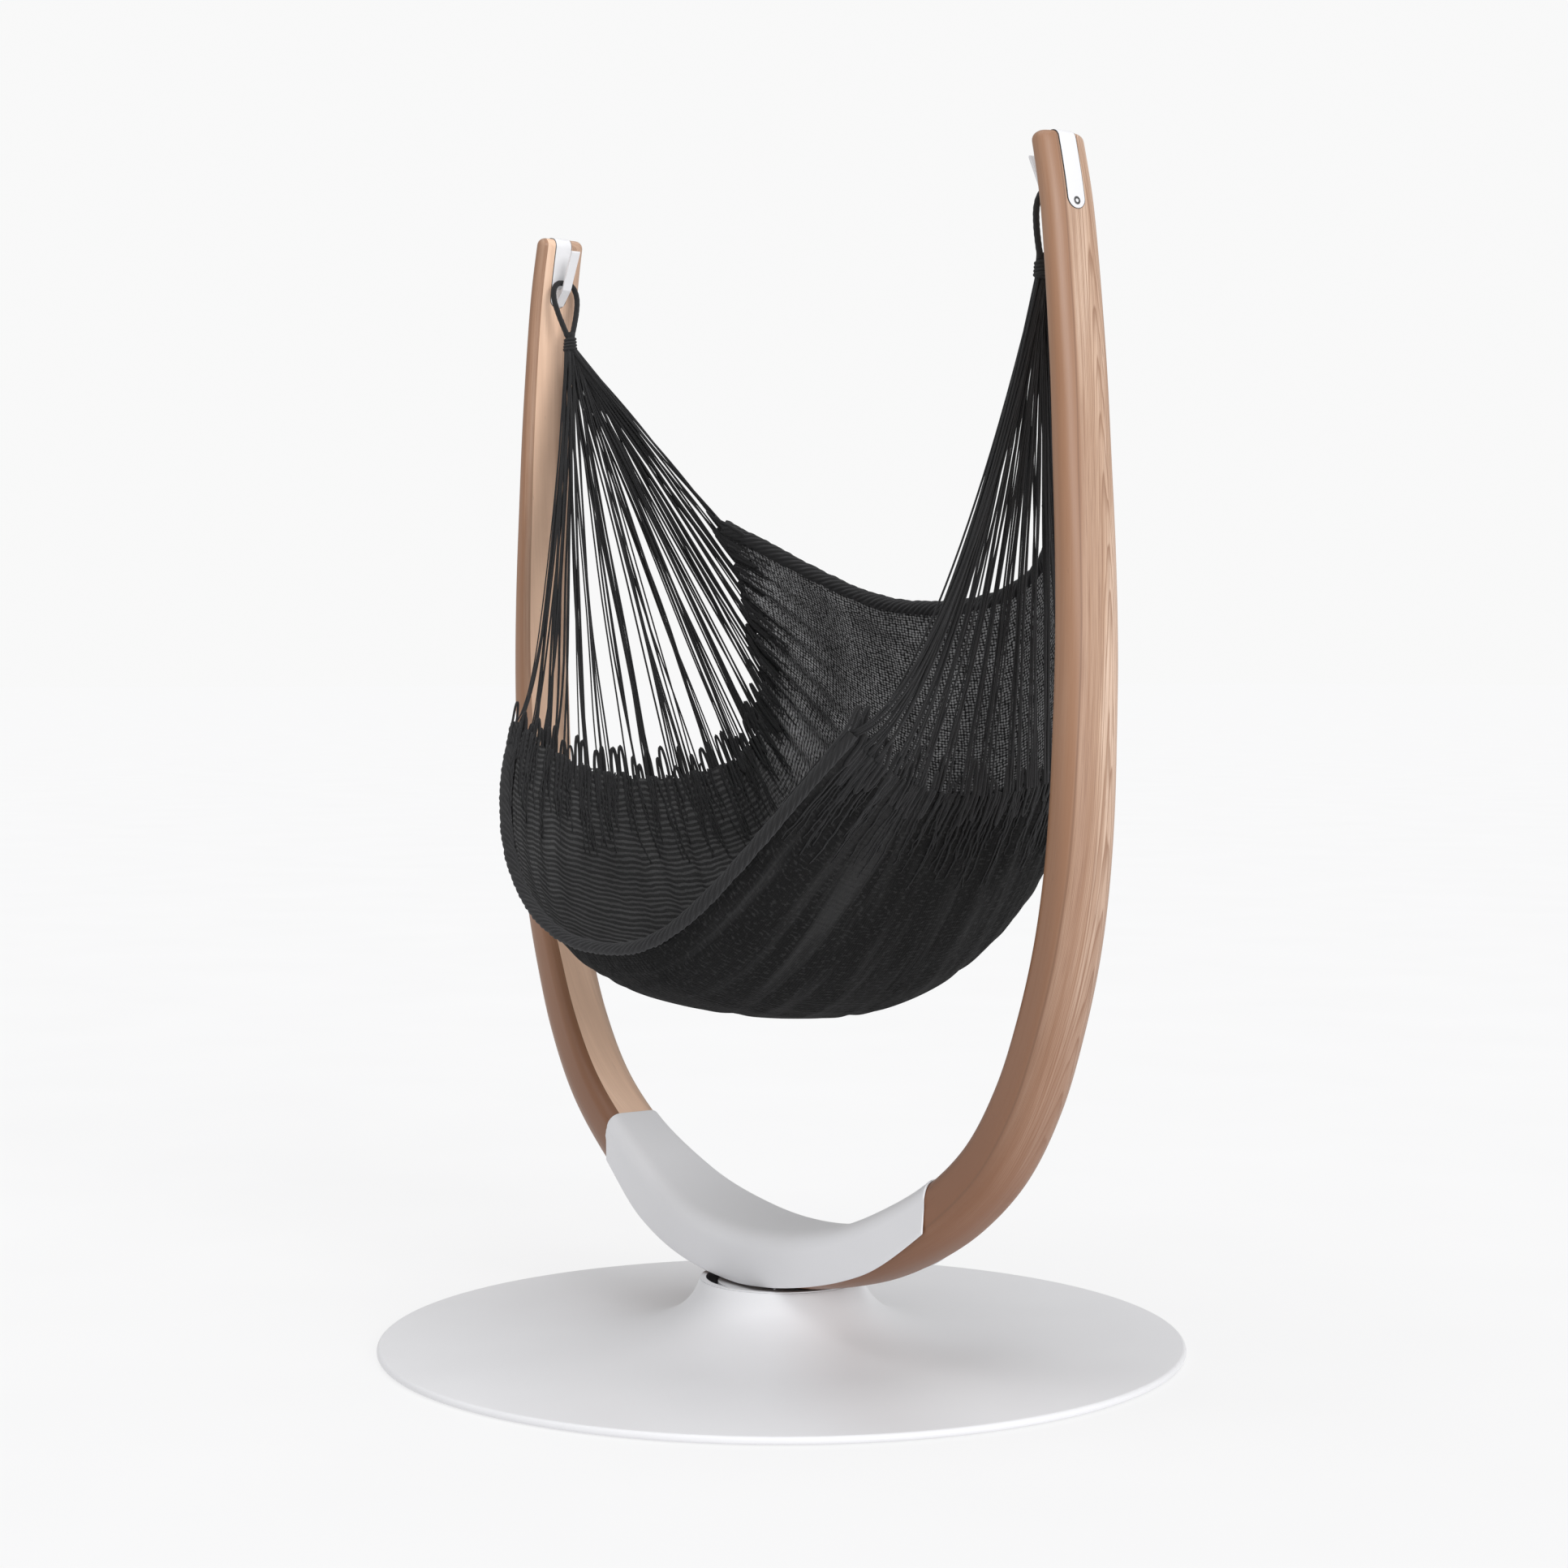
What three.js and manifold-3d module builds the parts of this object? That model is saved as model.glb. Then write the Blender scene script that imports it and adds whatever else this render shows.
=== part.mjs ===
// Hanging hammock chair in a bentwood U-frame that swivels on a round steel base.
// Millimetres, +Z up, origin on the floor under the swivel axis.
// The arms stand at +X and -X, and the sitter faces -Y.

import * as THREE from 'three';
import { mergeVertices } from 'three/addons/utils/BufferGeometryUtils.js';
import Module from 'manifold-3d';

const wasm = await Module();
wasm.setup();

// ---------- driving dimensions ----------

const GAP = 0.3;                    // clearance between neighbouring pieces

// base
const BASE_RADIUS = 600;
const FLOOR_RING_HEIGHT = 2;
const BALLAST_TOP = 8;
const DISH_SHEET = 3;               // wall of the spun dish
const DISH_EDGE_TOP = 12.5;         // top of the rolled rim
const DISH_FLARE_START = 330;       // radius where the trumpet starts to rise
const DISH_FLARE_HEIGHT = 17.5;
const NECK_RADIUS = 122;
const NECK_TOP = 99.8;
const SEAL_TOP = 101.6;

// swivel, as heights above the floor
const FLANGE_TOP = 16;
const PEDESTAL_TOP = 62;
const LOWER_RACE_TOP = 72.6;
const BALL_HEIGHT = 74.3;
const UPPER_RACE_BOTTOM = 76;
const HUB_BOTTOM = 87.7;
const HUB_TOP = 95.7;
const HUB_RADIUS = 95;
const BALL_CIRCLE = 34;
const BALL_RADIUS = 5.2;
const BALL_COUNT = 8;
const SPINDLE_RADIUS = 10;

// U-frame: inner face of one arm from the middle of the bottom up to the tip, as (x, z)
const ARM_LINE = [
  [0, 178], [103, 185], [204, 207], [300, 246], [391, 297], [470, 363], [530, 448], [573, 541], [606, 635],
  [628, 730], [642, 828], [650, 928], [655, 1033], [655, 1147], [650, 1275], [642, 1428], [624, 1610],
  [602, 1719],
];
// [share of the arm's length, width along Y, thickness, radius of the inner face's soft edges]
const ARM_SIZES = [
  [0, 157, 87, 24], [0.07, 154, 83, 24], [0.14, 124, 84, 22], [0.22, 96, 84, 20], [0.34, 86, 78, 17],
  [0.45, 89, 66, 16], [0.6, 94, 48, 14], [0.85, 89, 34, 12], [1, 82, 31, 11],
];
const ARM_CROWN_POWER = 2.6;        // how square the crowned outer face is
const ARM_CROWN_SHARE = 0.62;       // share of the thickness that the crown takes
const ARM_TIP_ROUND = 13;
const ARM_LOW_STEP = 46;            // spacing of the sections under the saddle cover
const ARM_LOW_COUNT = 8;
const ARM_HIGH_START = 452;
const ARM_HIGH_COUNT = 19;
const BUTT_GAP = 0.5;               // half gap where the arms meet

// saddle cover and the spine under it
const SADDLE_SHEET = 3;
const SADDLE_REACH = 419;           // length of the cover along the arm, each way
const SADDLE_SKIRT_REACH = 384;     // and along its lower edge
const SADDLE_SKIRT_SHARE = 0.89;    // share of the arm's thickness that the skirt covers
const SADDLE_SKIRT_TAPER = 0.2;     // how much less of it the skirt covers at its ends
const SADDLE_TAPER_START = 250;     // length along the arm where the skirt starts to narrow
const SADDLE_EDGE_STEPS = 4;
const SPINE_WIDTH = 58;
const SPINE_THICK = 8;
const SPINE_REACH = 300;
const SPINE_BOLT_PLACES = [-230, -90, 90, 230];

// straps and hooks at the tips
const STRAP_WIDTH = 29;
const STRAP_THICK = 3;
const STRAP_SUNK = 1.8;             // how deep the strap lies in the wood
const STRAP_OUTER_LENGTH = 96;
const STRAP_INNER_LENGTH = 99;
const HOOK_WIDTH = 16;
const HOOK_THROAT = 10.5;           // radius of the throat
const HOOK_THROAT_RISE = 2;         // height of the throat's centre over the cord's middle
const HOOK_RISE = 58;               // from the cord's middle to the blade's top
const HOOK_LEAN = 14;               // how far the blade leans away from the arm
const HOOK_HEIGHT = 1648;           // height of the cord's middle in the throat
const HOOK_BLADE = 3.6;
const BOLT_HEIGHT = 1622;

// hammock, as positions relative to the stand
const LOOP_CORD = 4.6;              // radius of the hanging loop's cord
const LOOP_DROP = 92;
const APEX = [585, 1545];           // where the strings' lines meet, as (x, z)
const WRAP_TOP = 1551;
const WRAP_BOTTOM = 1534;
const FAN_START = 0.045;            // share of the way from the apex at which the string fans start
const FAN_AXIS_END = [405, 60, 1060];
const FAN_SAG = 140;                // how far the foremost strings hang below straight lines
const FAN_SAG_ROUND = 0.35;         // share of the section, from the front, whose strings hang so
const SEAT_SHEET_FRONT = 15;        // the seat's weave is dense, and the back is a fine net
const SEAT_SHEET_BACK = 3.5;
const FAN_SHEET = 7;
const RIM_RADIUS = 13;
const RIM_ROOM = 4;                 // from the rim cord to the weave
const END_CORD_RADIUS = 4;
const END_CORD_ROOM = 11;           // half gap between seat and strings for the end cord
const SEAT_POWER_Y = 4;             // how the middle section turns into the end section
const SEAT_POWER_Z = 2.35;
// seat section at the middle, front rim to back rim, as (y, z)
const SEAT_MIDDLE = [
  [-330, 617], [-268, 551], [-150, 506], [0, 485], [122, 487], [230, 524],
  [311, 602], [339, 727], [343, 860], [329, 995], [300, 1116],
];
// seat section at each end, as (x, y, z)
const SEAT_END = [
  [430, -208, 928], [422, -158, 886], [416, -80, 850], [411, 20, 833], [408, 120, 838], [406, 205, 862],
  [403, 250, 915], [401, 262, 985], [400, 247, 1070], [400, 212, 1165], [400, 173, 1255],
];

// ---------- materials ----------

function surface(colour, roughness, metalness = 0) {
  return new THREE.MeshStandardMaterial({ color: colour, roughness, metalness });
}

const whitePaint = surface(0xd9dadd, 0.45);
const wood = surface(0xb98a66, 0.5);
const steel = surface(0x9a9da1, 0.4, 0.9);
const zinc = surface(0xc3c6c9, 0.35, 0.9);
const rubber = surface(0x1c1c1d, 0.85);
const blackCord = surface(0x1b1b1d, 0.9);
const blackWeave = surface(0x242427, 0.95);

// ---------- geometry helpers ----------

const stand = new THREE.Group();

function add(name, geometry, material) {
  const mesh = new THREE.Mesh(geometry, material);
  mesh.name = name;
  stand.add(mesh);
  return mesh;
}

function signedVolume(points, triangles) {
  let sum = 0;
  for (const [a, b, c] of triangles) {
    sum += points[a].dot(new THREE.Vector3().crossVectors(points[b], points[c]));
  }
  return sum / 6;
}

// A closed body from shared points and triangles, turned so that its faces point out.
function body(points, triangles) {
  const flip = signedVolume(points, triangles) < 0;
  const index = triangles.flatMap(([a, b, c]) => (flip ? [a, c, b] : [a, b, c]));
  const geometry = new THREE.BufferGeometry();
  const values = points.flatMap((p) => [p.x, p.y, p.z]);
  geometry.setAttribute('position', new THREE.Float32BufferAttribute(values, 3));
  geometry.setIndex(index);
  geometry.computeVertexNormals();
  return geometry;
}

// Skins rings of points. outlines gives the flat shape of the first and last ring for the end caps,
// and without it the last ring joins the first.
function loft(rings, outlines) {
  const count = rings[0].length;
  const triangles = [];
  const spans = outlines ? rings.length - 1 : rings.length;
  for (let i = 0; i < spans; i++) {
    const here = i * count;
    const next = ((i + 1) % rings.length) * count;
    for (let j = 0; j < count; j++) {
      const k = (j + 1) % count;
      triangles.push([here + j, next + j, next + k], [here + j, next + k, here + k]);
    }
  }
  if (outlines) {
    const last = (rings.length - 1) * count;
    for (const [a, b, c] of capFaces(outlines[0])) {
      triangles.push([a, b, c]);
    }
    for (const [a, b, c] of capFaces(outlines[1])) {
      triangles.push([last + a, last + c, last + b]);
    }
  }
  return body(rings.flat(), triangles);
}

// Triangles of a flat outline, each running the same way round as the outline.
function capFaces(outline) {
  const area = THREE.ShapeUtils.area(outline);
  return THREE.ShapeUtils.triangulateShape(outline, []).map((face) => {
    const [a, b, c] = face;
    const turn = THREE.ShapeUtils.area([outline[a], outline[b], outline[c]]);
    return turn * area > 0 ? [a, b, c] : [a, c, b];
  });
}

function toManifold(geometry) {
  let clean = geometry.clone();
  clean.deleteAttribute('normal');
  clean.deleteAttribute('uv');
  clean = mergeVertices(clean, 1e-4);
  return new wasm.Manifold(new wasm.Mesh({
    numProp: 3,
    vertProperties: new Float32Array(clean.attributes.position.array),
    triVerts: new Uint32Array(clean.index.array),
  }));
}

function toGeometry(manifold) {
  const mesh = manifold.getMesh();
  const geometry = new THREE.BufferGeometry();
  geometry.setAttribute('position', new THREE.BufferAttribute(new Float32Array(mesh.vertProperties), 3));
  geometry.setIndex(new THREE.BufferAttribute(new Uint32Array(mesh.triVerts), 1));
  geometry.computeVertexNormals();
  return geometry;
}

function cut(geometry, cutters) {
  let result = toManifold(geometry);
  for (const cutter of cutters) {
    result = result.subtract(toManifold(cutter));
  }
  return toGeometry(result);
}

function join(geometries) {
  let result = toManifold(geometries[0]);
  for (const geometry of geometries.slice(1)) {
    result = result.add(toManifold(geometry));
  }
  return toGeometry(result);
}

// A turned ring about Z from a closed outline of (radius, z) points.
function turned(outline, segments = 64) {
  const points = outline.map(([r, z]) => new THREE.Vector2(r, z));
  const rings = [];
  for (let i = 0; i < segments; i++) {
    const angle = (i / segments) * Math.PI * 2;
    rings.push(points.map((p) => new THREE.Vector3(p.x * Math.cos(angle), p.x * Math.sin(angle), p.y)));
  }
  return loft(rings);
}

function ringOutline(inner, outer, bottom, top) {
  return [[inner, bottom], [outer, bottom], [outer, top], [inner, top]];
}

function arcPoints(cx, cy, radius, from, to, steps) {
  return Array.from({ length: steps + 1 }, (_, i) => {
    const angle = THREE.MathUtils.degToRad(from + ((to - from) * i) / steps);
    return [cx + radius * Math.cos(angle), cy + radius * Math.sin(angle)];
  });
}

// A cylinder of the given length along direction, starting at point.
function rod(point, direction, radius, length, segments = 20) {
  const geometry = new THREE.CylinderGeometry(radius, radius, length, segments);
  geometry.translate(0, length / 2, 0);
  const turn = new THREE.Quaternion().setFromUnitVectors(new THREE.Vector3(0, 1, 0), direction);
  geometry.applyQuaternion(turn);
  geometry.translate(point.x, point.y, point.z);
  return geometry;
}

// A tube round a smooth path of points.
function tube(points, radius, steps, sides, closed = false) {
  const path = new THREE.CatmullRomCurve3(points, closed, 'centripetal');
  const frames = path.computeFrenetFrames(steps, closed);
  const rings = [];
  const last = closed ? steps - 1 : steps;
  for (let i = 0; i <= last; i++) {
    const centre = path.getPointAt(i / steps);
    rings.push(Array.from({ length: sides }, (_, j) => {
      const angle = (j / sides) * Math.PI * 2;
      return centre.clone()
        .addScaledVector(frames.normals[i], radius * Math.cos(angle))
        .addScaledVector(frames.binormals[i], radius * Math.sin(angle));
    }));
  }
  const outline = Array.from({ length: sides }, (_, j) => {
    const angle = (j / sides) * Math.PI * 2;
    return new THREE.Vector2(Math.cos(angle), Math.sin(angle));
  });
  return loft(rings, closed ? null : [outline, outline]);
}

// Smooth value from a table of [place, value, ...] rows.
function tableValue(table, place, column) {
  const last = table.length - 1;
  const slope = (i) => {
    const low = table[Math.max(i - 1, 0)];
    const high = table[Math.min(i + 1, last)];
    return (high[column] - low[column]) / (high[0] - low[0]);
  };
  let i = 0;
  while (i < last - 1 && place > table[i + 1][0]) {
    i++;
  }
  const span = table[i + 1][0] - table[i][0];
  const t = Math.min(Math.max((place - table[i][0]) / span, 0), 1);
  const first = table[i][column] * (1 + 2 * t) * (1 - t) ** 2 + slope(i) * span * t * (1 - t) ** 2;
  const second = table[i + 1][column] * t * t * (3 - 2 * t) + slope(i + 1) * span * t * t * (t - 1);
  return first + second;
}

// ---------- base ----------

function bezierOutline(points, steps) {
  const curve = new THREE.CubicBezierCurve(...points.map(([r, z]) => new THREE.Vector2(r, z)));
  return curve.getPoints(steps).map((p) => [p.x, p.y]);
}

function baseDish() {
  const rimRadius = (DISH_EDGE_TOP - 1) / 2;
  const rimHeight = DISH_EDGE_TOP - rimRadius;
  const outer = bezierOutline([
    [NECK_RADIUS, NECK_TOP], [136, 50], [190, DISH_FLARE_HEIGHT + 0.5], [DISH_FLARE_START, DISH_FLARE_HEIGHT],
  ], 7);
  const rim = arcPoints(BASE_RADIUS - rimRadius, rimHeight, rimRadius, 90, -70, 4);
  const innerRim = arcPoints(BASE_RADIUS - rimRadius, rimHeight, rimRadius - DISH_SHEET, -70, 90, 2);
  const inner = bezierOutline([
    [NECK_RADIUS - DISH_SHEET, NECK_TOP], [136 - DISH_SHEET, 47], [188, DISH_FLARE_HEIGHT - DISH_SHEET],
    [DISH_FLARE_START, DISH_FLARE_HEIGHT - DISH_SHEET],
  ], 7).reverse();
  return turned([...outer, ...rim, ...innerRim, ...inner], 56);
}

function pedestal() {
  const bore = SPINDLE_RADIUS + 0.6;
  return turned([
    [bore, PEDESTAL_TOP - 8], [40, PEDESTAL_TOP - 8], [40, BALLAST_TOP + GAP], [92, BALLAST_TOP + GAP],
    [92, FLANGE_TOP], [56, FLANGE_TOP], [50, FLANGE_TOP + 6], [48, PEDESTAL_TOP], [bore, PEDESTAL_TOP],
  ], 28);
}

function race(bottom, top, grooveUp) {
  const inner = 22;
  const outer = 46;
  const radius = BALL_RADIUS + 2 * GAP;
  const face = grooveUp ? top : bottom;
  const rise = Math.abs(face - BALL_HEIGHT);
  const half = THREE.MathUtils.radToDeg(Math.asin(rise / radius));
  const groove = grooveUp
    ? arcPoints(BALL_CIRCLE, BALL_HEIGHT, radius, -half, half - 180, 4)
    : arcPoints(BALL_CIRCLE, BALL_HEIGHT, radius, 180 - half, half, 4);
  if (grooveUp) {
    return turned([[inner, bottom], [outer, bottom], [outer, top], ...groove, [inner, top]], 28);
  }
  return turned([[inner, top], [inner, bottom], ...groove, [outer, bottom], [outer, top]], 28);
}

function ballRing() {
  const cage = ringOutline(BALL_CIRCLE - 4, BALL_CIRCLE + 4, BALL_HEIGHT - 1, BALL_HEIGHT + 1);
  const pieces = [turned(cage, 24)];
  for (let i = 0; i < BALL_COUNT; i++) {
    const angle = (i / BALL_COUNT) * Math.PI * 2;
    const ball = new THREE.SphereGeometry(BALL_RADIUS, 8, 6);
    ball.translate(BALL_CIRCLE * Math.cos(angle), BALL_CIRCLE * Math.sin(angle), BALL_HEIGHT);
    pieces.push(ball);
  }
  return join(pieces);
}

function headedBolt(point, direction, shank, length, head, headHeight, sides = 12) {
  const start = point.clone().addScaledVector(direction, -headHeight);
  const top = rod(start, direction, head, headHeight, sides);
  const stem = rod(start, direction, shank, length + headHeight, sides);
  return join([top, stem]);
}

function circlePlaces(radius, count, offset = 45) {
  return Array.from({ length: count }, (_, i) => {
    const angle = THREE.MathUtils.degToRad(offset + (360 * i) / count);
    return new THREE.Vector3(radius * Math.cos(angle), radius * Math.sin(angle), 0);
  });
}

const UP = new THREE.Vector3(0, 0, 1);
const DOWN = new THREE.Vector3(0, 0, -1);
const PEDESTAL_BOLT_CIRCLE = 73;
const PEDESTAL_BOLT_SHANK = 4;
const HUB_SCREW_CIRCLE = 72;
const HUB_SCREW_SHANK = 3;

function buildBase() {
  add('base_dish', baseDish(), whitePaint);
  const boltPlaces = circlePlaces(PEDESTAL_BOLT_CIRCLE, 4);
  const holes = boltPlaces.map((p) => rod(
    new THREE.Vector3(p.x, p.y, 0), UP, PEDESTAL_BOLT_SHANK + GAP, FLANGE_TOP + 4, 16,
  ));
  const ballast = turned(ringOutline(30, 570, FLOOR_RING_HEIGHT + GAP, BALLAST_TOP), 40);
  add('ballast_plate', cut(ballast, holes), steel);
  add('floor_ring', turned(ringOutline(500, 560, 0, FLOOR_RING_HEIGHT), 40), rubber);
  add('swivel_pedestal', cut(pedestal(), holes), steel);
  boltPlaces.forEach((p, i) => {
    const head = new THREE.Vector3(p.x, p.y, FLANGE_TOP + GAP);
    const length = FLANGE_TOP + GAP - FLOOR_RING_HEIGHT - 1;
    add(`pedestal_bolt_${i + 1}`, headedBolt(head, DOWN, PEDESTAL_BOLT_SHANK, length, 7, 5), zinc);
  });
  add('lower_bearing_race', race(PEDESTAL_TOP + GAP, LOWER_RACE_TOP, true), steel);
  add('bearing_ball_ring', ballRing(), zinc);
  const seal = turned(ringOutline(NECK_RADIUS - 9, NECK_RADIUS - 0.5, NECK_TOP + GAP, SEAL_TOP), 56);
  add('neck_seal', seal, rubber);
}

// ---------- swivel parts that turn with the frame ----------

function buildSwivel() {
  add('upper_bearing_race', race(UPPER_RACE_BOTTOM, HUB_BOTTOM - GAP, false), steel);
  const screwPlaces = circlePlaces(HUB_SCREW_CIRCLE, 4);
  const holes = screwPlaces.map((p) => rod(
    new THREE.Vector3(p.x, p.y, HUB_BOTTOM - 5), UP, HUB_SCREW_SHANK + GAP, 20, 12,
  ));
  const hub = turned(ringOutline(SPINDLE_RADIUS + GAP, HUB_RADIUS, HUB_BOTTOM, HUB_TOP), 32);
  add('hub_plate', cut(hub, holes), steel);
  screwPlaces.forEach((p, i) => {
    const head = new THREE.Vector3(p.x, p.y, HUB_BOTTOM - GAP);
    add(`hub_screw_${i + 1}`, headedBolt(head, UP, HUB_SCREW_SHANK, 36, 6, 3.5), zinc);
  });
  const spindleBottom = PEDESTAL_TOP - 32;
  const washerTop = PEDESTAL_TOP - 8 - GAP;
  const spindleLength = HUB_TOP - GAP - spindleBottom;
  add('spindle', rod(new THREE.Vector3(0, 0, spindleBottom), UP, SPINDLE_RADIUS, spindleLength, 24), steel);
  add('spindle_washer', turned(ringOutline(SPINDLE_RADIUS + GAP, 18, washerTop - 3, washerTop), 20), zinc);
  const nut = new THREE.CylinderGeometry(17, 17, 12, 6);
  nut.rotateX(Math.PI / 2);
  nut.translate(0, 0, washerTop - 3 - GAP - 6);
  const bore = rod(new THREE.Vector3(0, 0, spindleBottom - 5), UP, SPINDLE_RADIUS + GAP, 40, 24);
  add('spindle_nut', cut(nut, [bore]), zinc);
}

// ---------- U-frame ----------

const armCurve = new THREE.SplineCurve([
  ...ARM_LINE.slice(1).reverse().map(([x, z]) => new THREE.Vector2(-x, z)),
  ...ARM_LINE.map(([x, z]) => new THREE.Vector2(x, z)),
]);
armCurve.arcLengthDivisions = 800;
const ARM_LENGTH = armCurve.getLength() / 2;

// Place on the inner face at a length along the arm from the middle of the bottom.
// inner: the point, along: towards the tip at +X, out: away from the space inside the U.
function armFrame(length) {
  const share = 0.5 + length / (2 * ARM_LENGTH);
  const p = armCurve.getPointAt(THREE.MathUtils.clamp(share, 0, 1));
  const t = armCurve.getTangentAt(THREE.MathUtils.clamp(share, 0, 1));
  return {
    inner: new THREE.Vector3(p.x, 0, p.y),
    along: new THREE.Vector3(t.x, 0, t.y),
    out: new THREE.Vector3(t.y, 0, -t.x),
  };
}

function armSize(length, column) {
  return tableValue(ARM_SIZES, Math.abs(length) / ARM_LENGTH, column);
}

// Outline of the arm's section as (outward, y) points, shrunk all round by the tip's rounding.
function armSection(length, shrink) {
  const thickness = armSize(length, 2);
  const half = armSize(length, 1) / 2 - shrink;
  const near = shrink;
  const far = thickness - shrink;
  const edge = Math.max(armSize(length, 3) - shrink, 2);
  const crown = (far - near) * ARM_CROWN_SHARE;
  const points = [...arcPoints(near + edge, -half + edge, edge, 180, 270, 4)];
  const steps = 12;
  for (let i = 0; i <= steps; i++) {
    const angle = -Math.PI / 2 + (Math.PI * i) / steps;
    const c = Math.abs(Math.cos(angle)) ** (2 / ARM_CROWN_POWER);
    const s = Math.sign(Math.sin(angle)) * Math.abs(Math.sin(angle)) ** (2 / ARM_CROWN_POWER);
    points.push([far - crown + crown * c, half * s]);
  }
  points.push(...arcPoints(near + edge, half - edge, edge, 90, 180, 4));
  return points.map(([n, y]) => new THREE.Vector2(n, y));
}

function placeSection(outline, frame) {
  return outline.map((p) => frame.inner.clone().addScaledVector(frame.out, p.x).setY(p.y));
}

// Lengths along one arm at which its sections are drawn. The saddle cover uses the low ones too.
function armStations() {
  const low = Array.from({ length: ARM_LOW_COUNT + 1 }, (_, i) => ARM_LOW_STEP * i);
  const straight = ARM_LENGTH - ARM_TIP_ROUND;
  const high = Array.from({ length: ARM_HIGH_COUNT + 1 }, (_, i) => (
    ARM_HIGH_START + ((straight - ARM_HIGH_START) * i) / ARM_HIGH_COUNT
  ));
  return [...low, ...high];
}

function armBlank(side) {
  const lengths = armStations();
  lengths[0] = BUTT_GAP;
  for (const angle of [30, 55, 75, 90]) {
    lengths.push(ARM_LENGTH - ARM_TIP_ROUND * (1 - Math.sin(THREE.MathUtils.degToRad(angle))));
  }
  const outlines = lengths.map((length) => {
    const past = Math.max(length - (ARM_LENGTH - ARM_TIP_ROUND), 0);
    const shrink = ARM_TIP_ROUND - Math.sqrt(Math.max(ARM_TIP_ROUND ** 2 - past ** 2, 0));
    return armSection(length, Math.min(shrink, ARM_TIP_ROUND * 0.94));
  });
  const rings = outlines.map((outline, i) => placeSection(outline, armFrame(side * lengths[i])));
  return loft(rings, [outlines[0], outlines[outlines.length - 1]]);
}

// A flat bar along the arm's inner face, between two lengths and two depths below that face.
function barAlong(from, to, width, near, far, steps) {
  const outline = [[near, -width / 2], [far, -width / 2], [far, width / 2], [near, width / 2]]
    .map(([n, y]) => new THREE.Vector2(n, y));
  const rings = [];
  for (let i = 0; i <= steps; i++) {
    rings.push(placeSection(outline, armFrame(from + ((to - from) * i) / steps)));
  }
  return loft(rings, [outline, outline]);
}

function spineBolts(extra) {
  return SPINE_BOLT_PLACES.map((place) => {
    const frame = armFrame(place);
    const head = frame.inner.clone().addScaledVector(frame.out, 4.4);
    return extra
      ? rod(frame.inner.clone().addScaledVector(frame.out, -2), frame.out, 4 + GAP, 46, 12)
      : headedBolt(head, frame.out, 4, 34, 7, 3.6);
  });
}

function headRecesses() {
  return SPINE_BOLT_PLACES.map((place) => {
    const frame = armFrame(place);
    return rod(frame.inner.clone().addScaledVector(frame.out, -2), frame.out, 7 + GAP, 6.4 + GAP, 16);
  });
}

// ---------- strap over the tip ----------

// Line of the strap over one tip, from its outer end to its inner end, as points with outward normals.
function strapLine(extra) {
  const line = [];
  const straight = ARM_LENGTH - ARM_TIP_ROUND;
  const outerSteps = 7;
  for (let i = 0; i <= outerSteps; i++) {
    const length = straight - (STRAP_OUTER_LENGTH + extra) * (1 - i / outerSteps);
    const frame = armFrame(length);
    line.push([frame.inner.clone().addScaledVector(frame.out, armSize(length, 2)), frame.out.clone()]);
  }
  const tip = armFrame(straight);
  const thickness = armSize(straight, 2);
  for (const [depth, from, to] of [[thickness - ARM_TIP_ROUND, 0, 90], [ARM_TIP_ROUND, 90, 180]]) {
    for (let k = from === 0 ? 1 : 0; k <= 4; k++) {
      const angle = THREE.MathUtils.degToRad(from + ((to - from) * k) / 4);
      const normal = tip.out.clone().multiplyScalar(Math.cos(angle));
      normal.addScaledVector(tip.along, Math.sin(angle));
      const centre = tip.inner.clone().addScaledVector(tip.out, depth);
      line.push([centre.addScaledVector(normal, ARM_TIP_ROUND), normal]);
    }
  }
  const innerSteps = 8;
  for (let i = 1; i <= innerSteps; i++) {
    const frame = armFrame(straight - ((STRAP_INNER_LENGTH + extra) * i) / innerSteps);
    line.push([frame.inner.clone(), frame.out.clone().negate()]);
  }
  return line;
}

// The strap's body between two heights over the wood, with round ends, for the arm at side +1 or -1.
function strapBody(side, low, high, extra) {
  const line = strapLine(extra);
  const run = [0];
  for (let i = 1; i < line.length; i++) {
    run.push(run[i - 1] + line[i][0].distanceTo(line[i - 1][0]));
  }
  const total = run[run.length - 1];
  const half = STRAP_WIDTH / 2 + extra;
  const at = (place) => {
    let i = 0;
    while (i < line.length - 2 && place > run[i + 1]) {
      i++;
    }
    const t = (place - run[i]) / (run[i + 1] - run[i]);
    return {
      point: line[i][0].clone().lerp(line[i + 1][0], t),
      normal: line[i][1].clone().lerp(line[i + 1][1], t).normalize(),
    };
  };
  const roundPlaces = [0.03, 0.15, 0.35, 0.65, 1].map((share) => share * half);
  const places = [...roundPlaces, ...run.filter((r) => r > half + 1 && r < total - half - 1)];
  places.push(...roundPlaces.map((r) => total - r).reverse());
  const rings = places.map((place) => {
    const { point, normal } = at(place);
    const end = Math.min(place, total - place, half);
    const reach = Math.sqrt(half ** 2 - (half - end) ** 2);
    return [[low, -reach], [high, -reach], [high, reach], [low, reach]].map(([h, y]) => {
      const p = point.clone().addScaledVector(normal, h);
      return new THREE.Vector3(side * p.x, y, p.z);
    });
  });
  const cap = [[0, 0], [1, 0], [1, 1], [0, 1]].map(([a, b]) => new THREE.Vector2(a, b));
  return loft(rings, [cap, cap]);
}

// ---------- hooks ----------

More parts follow.
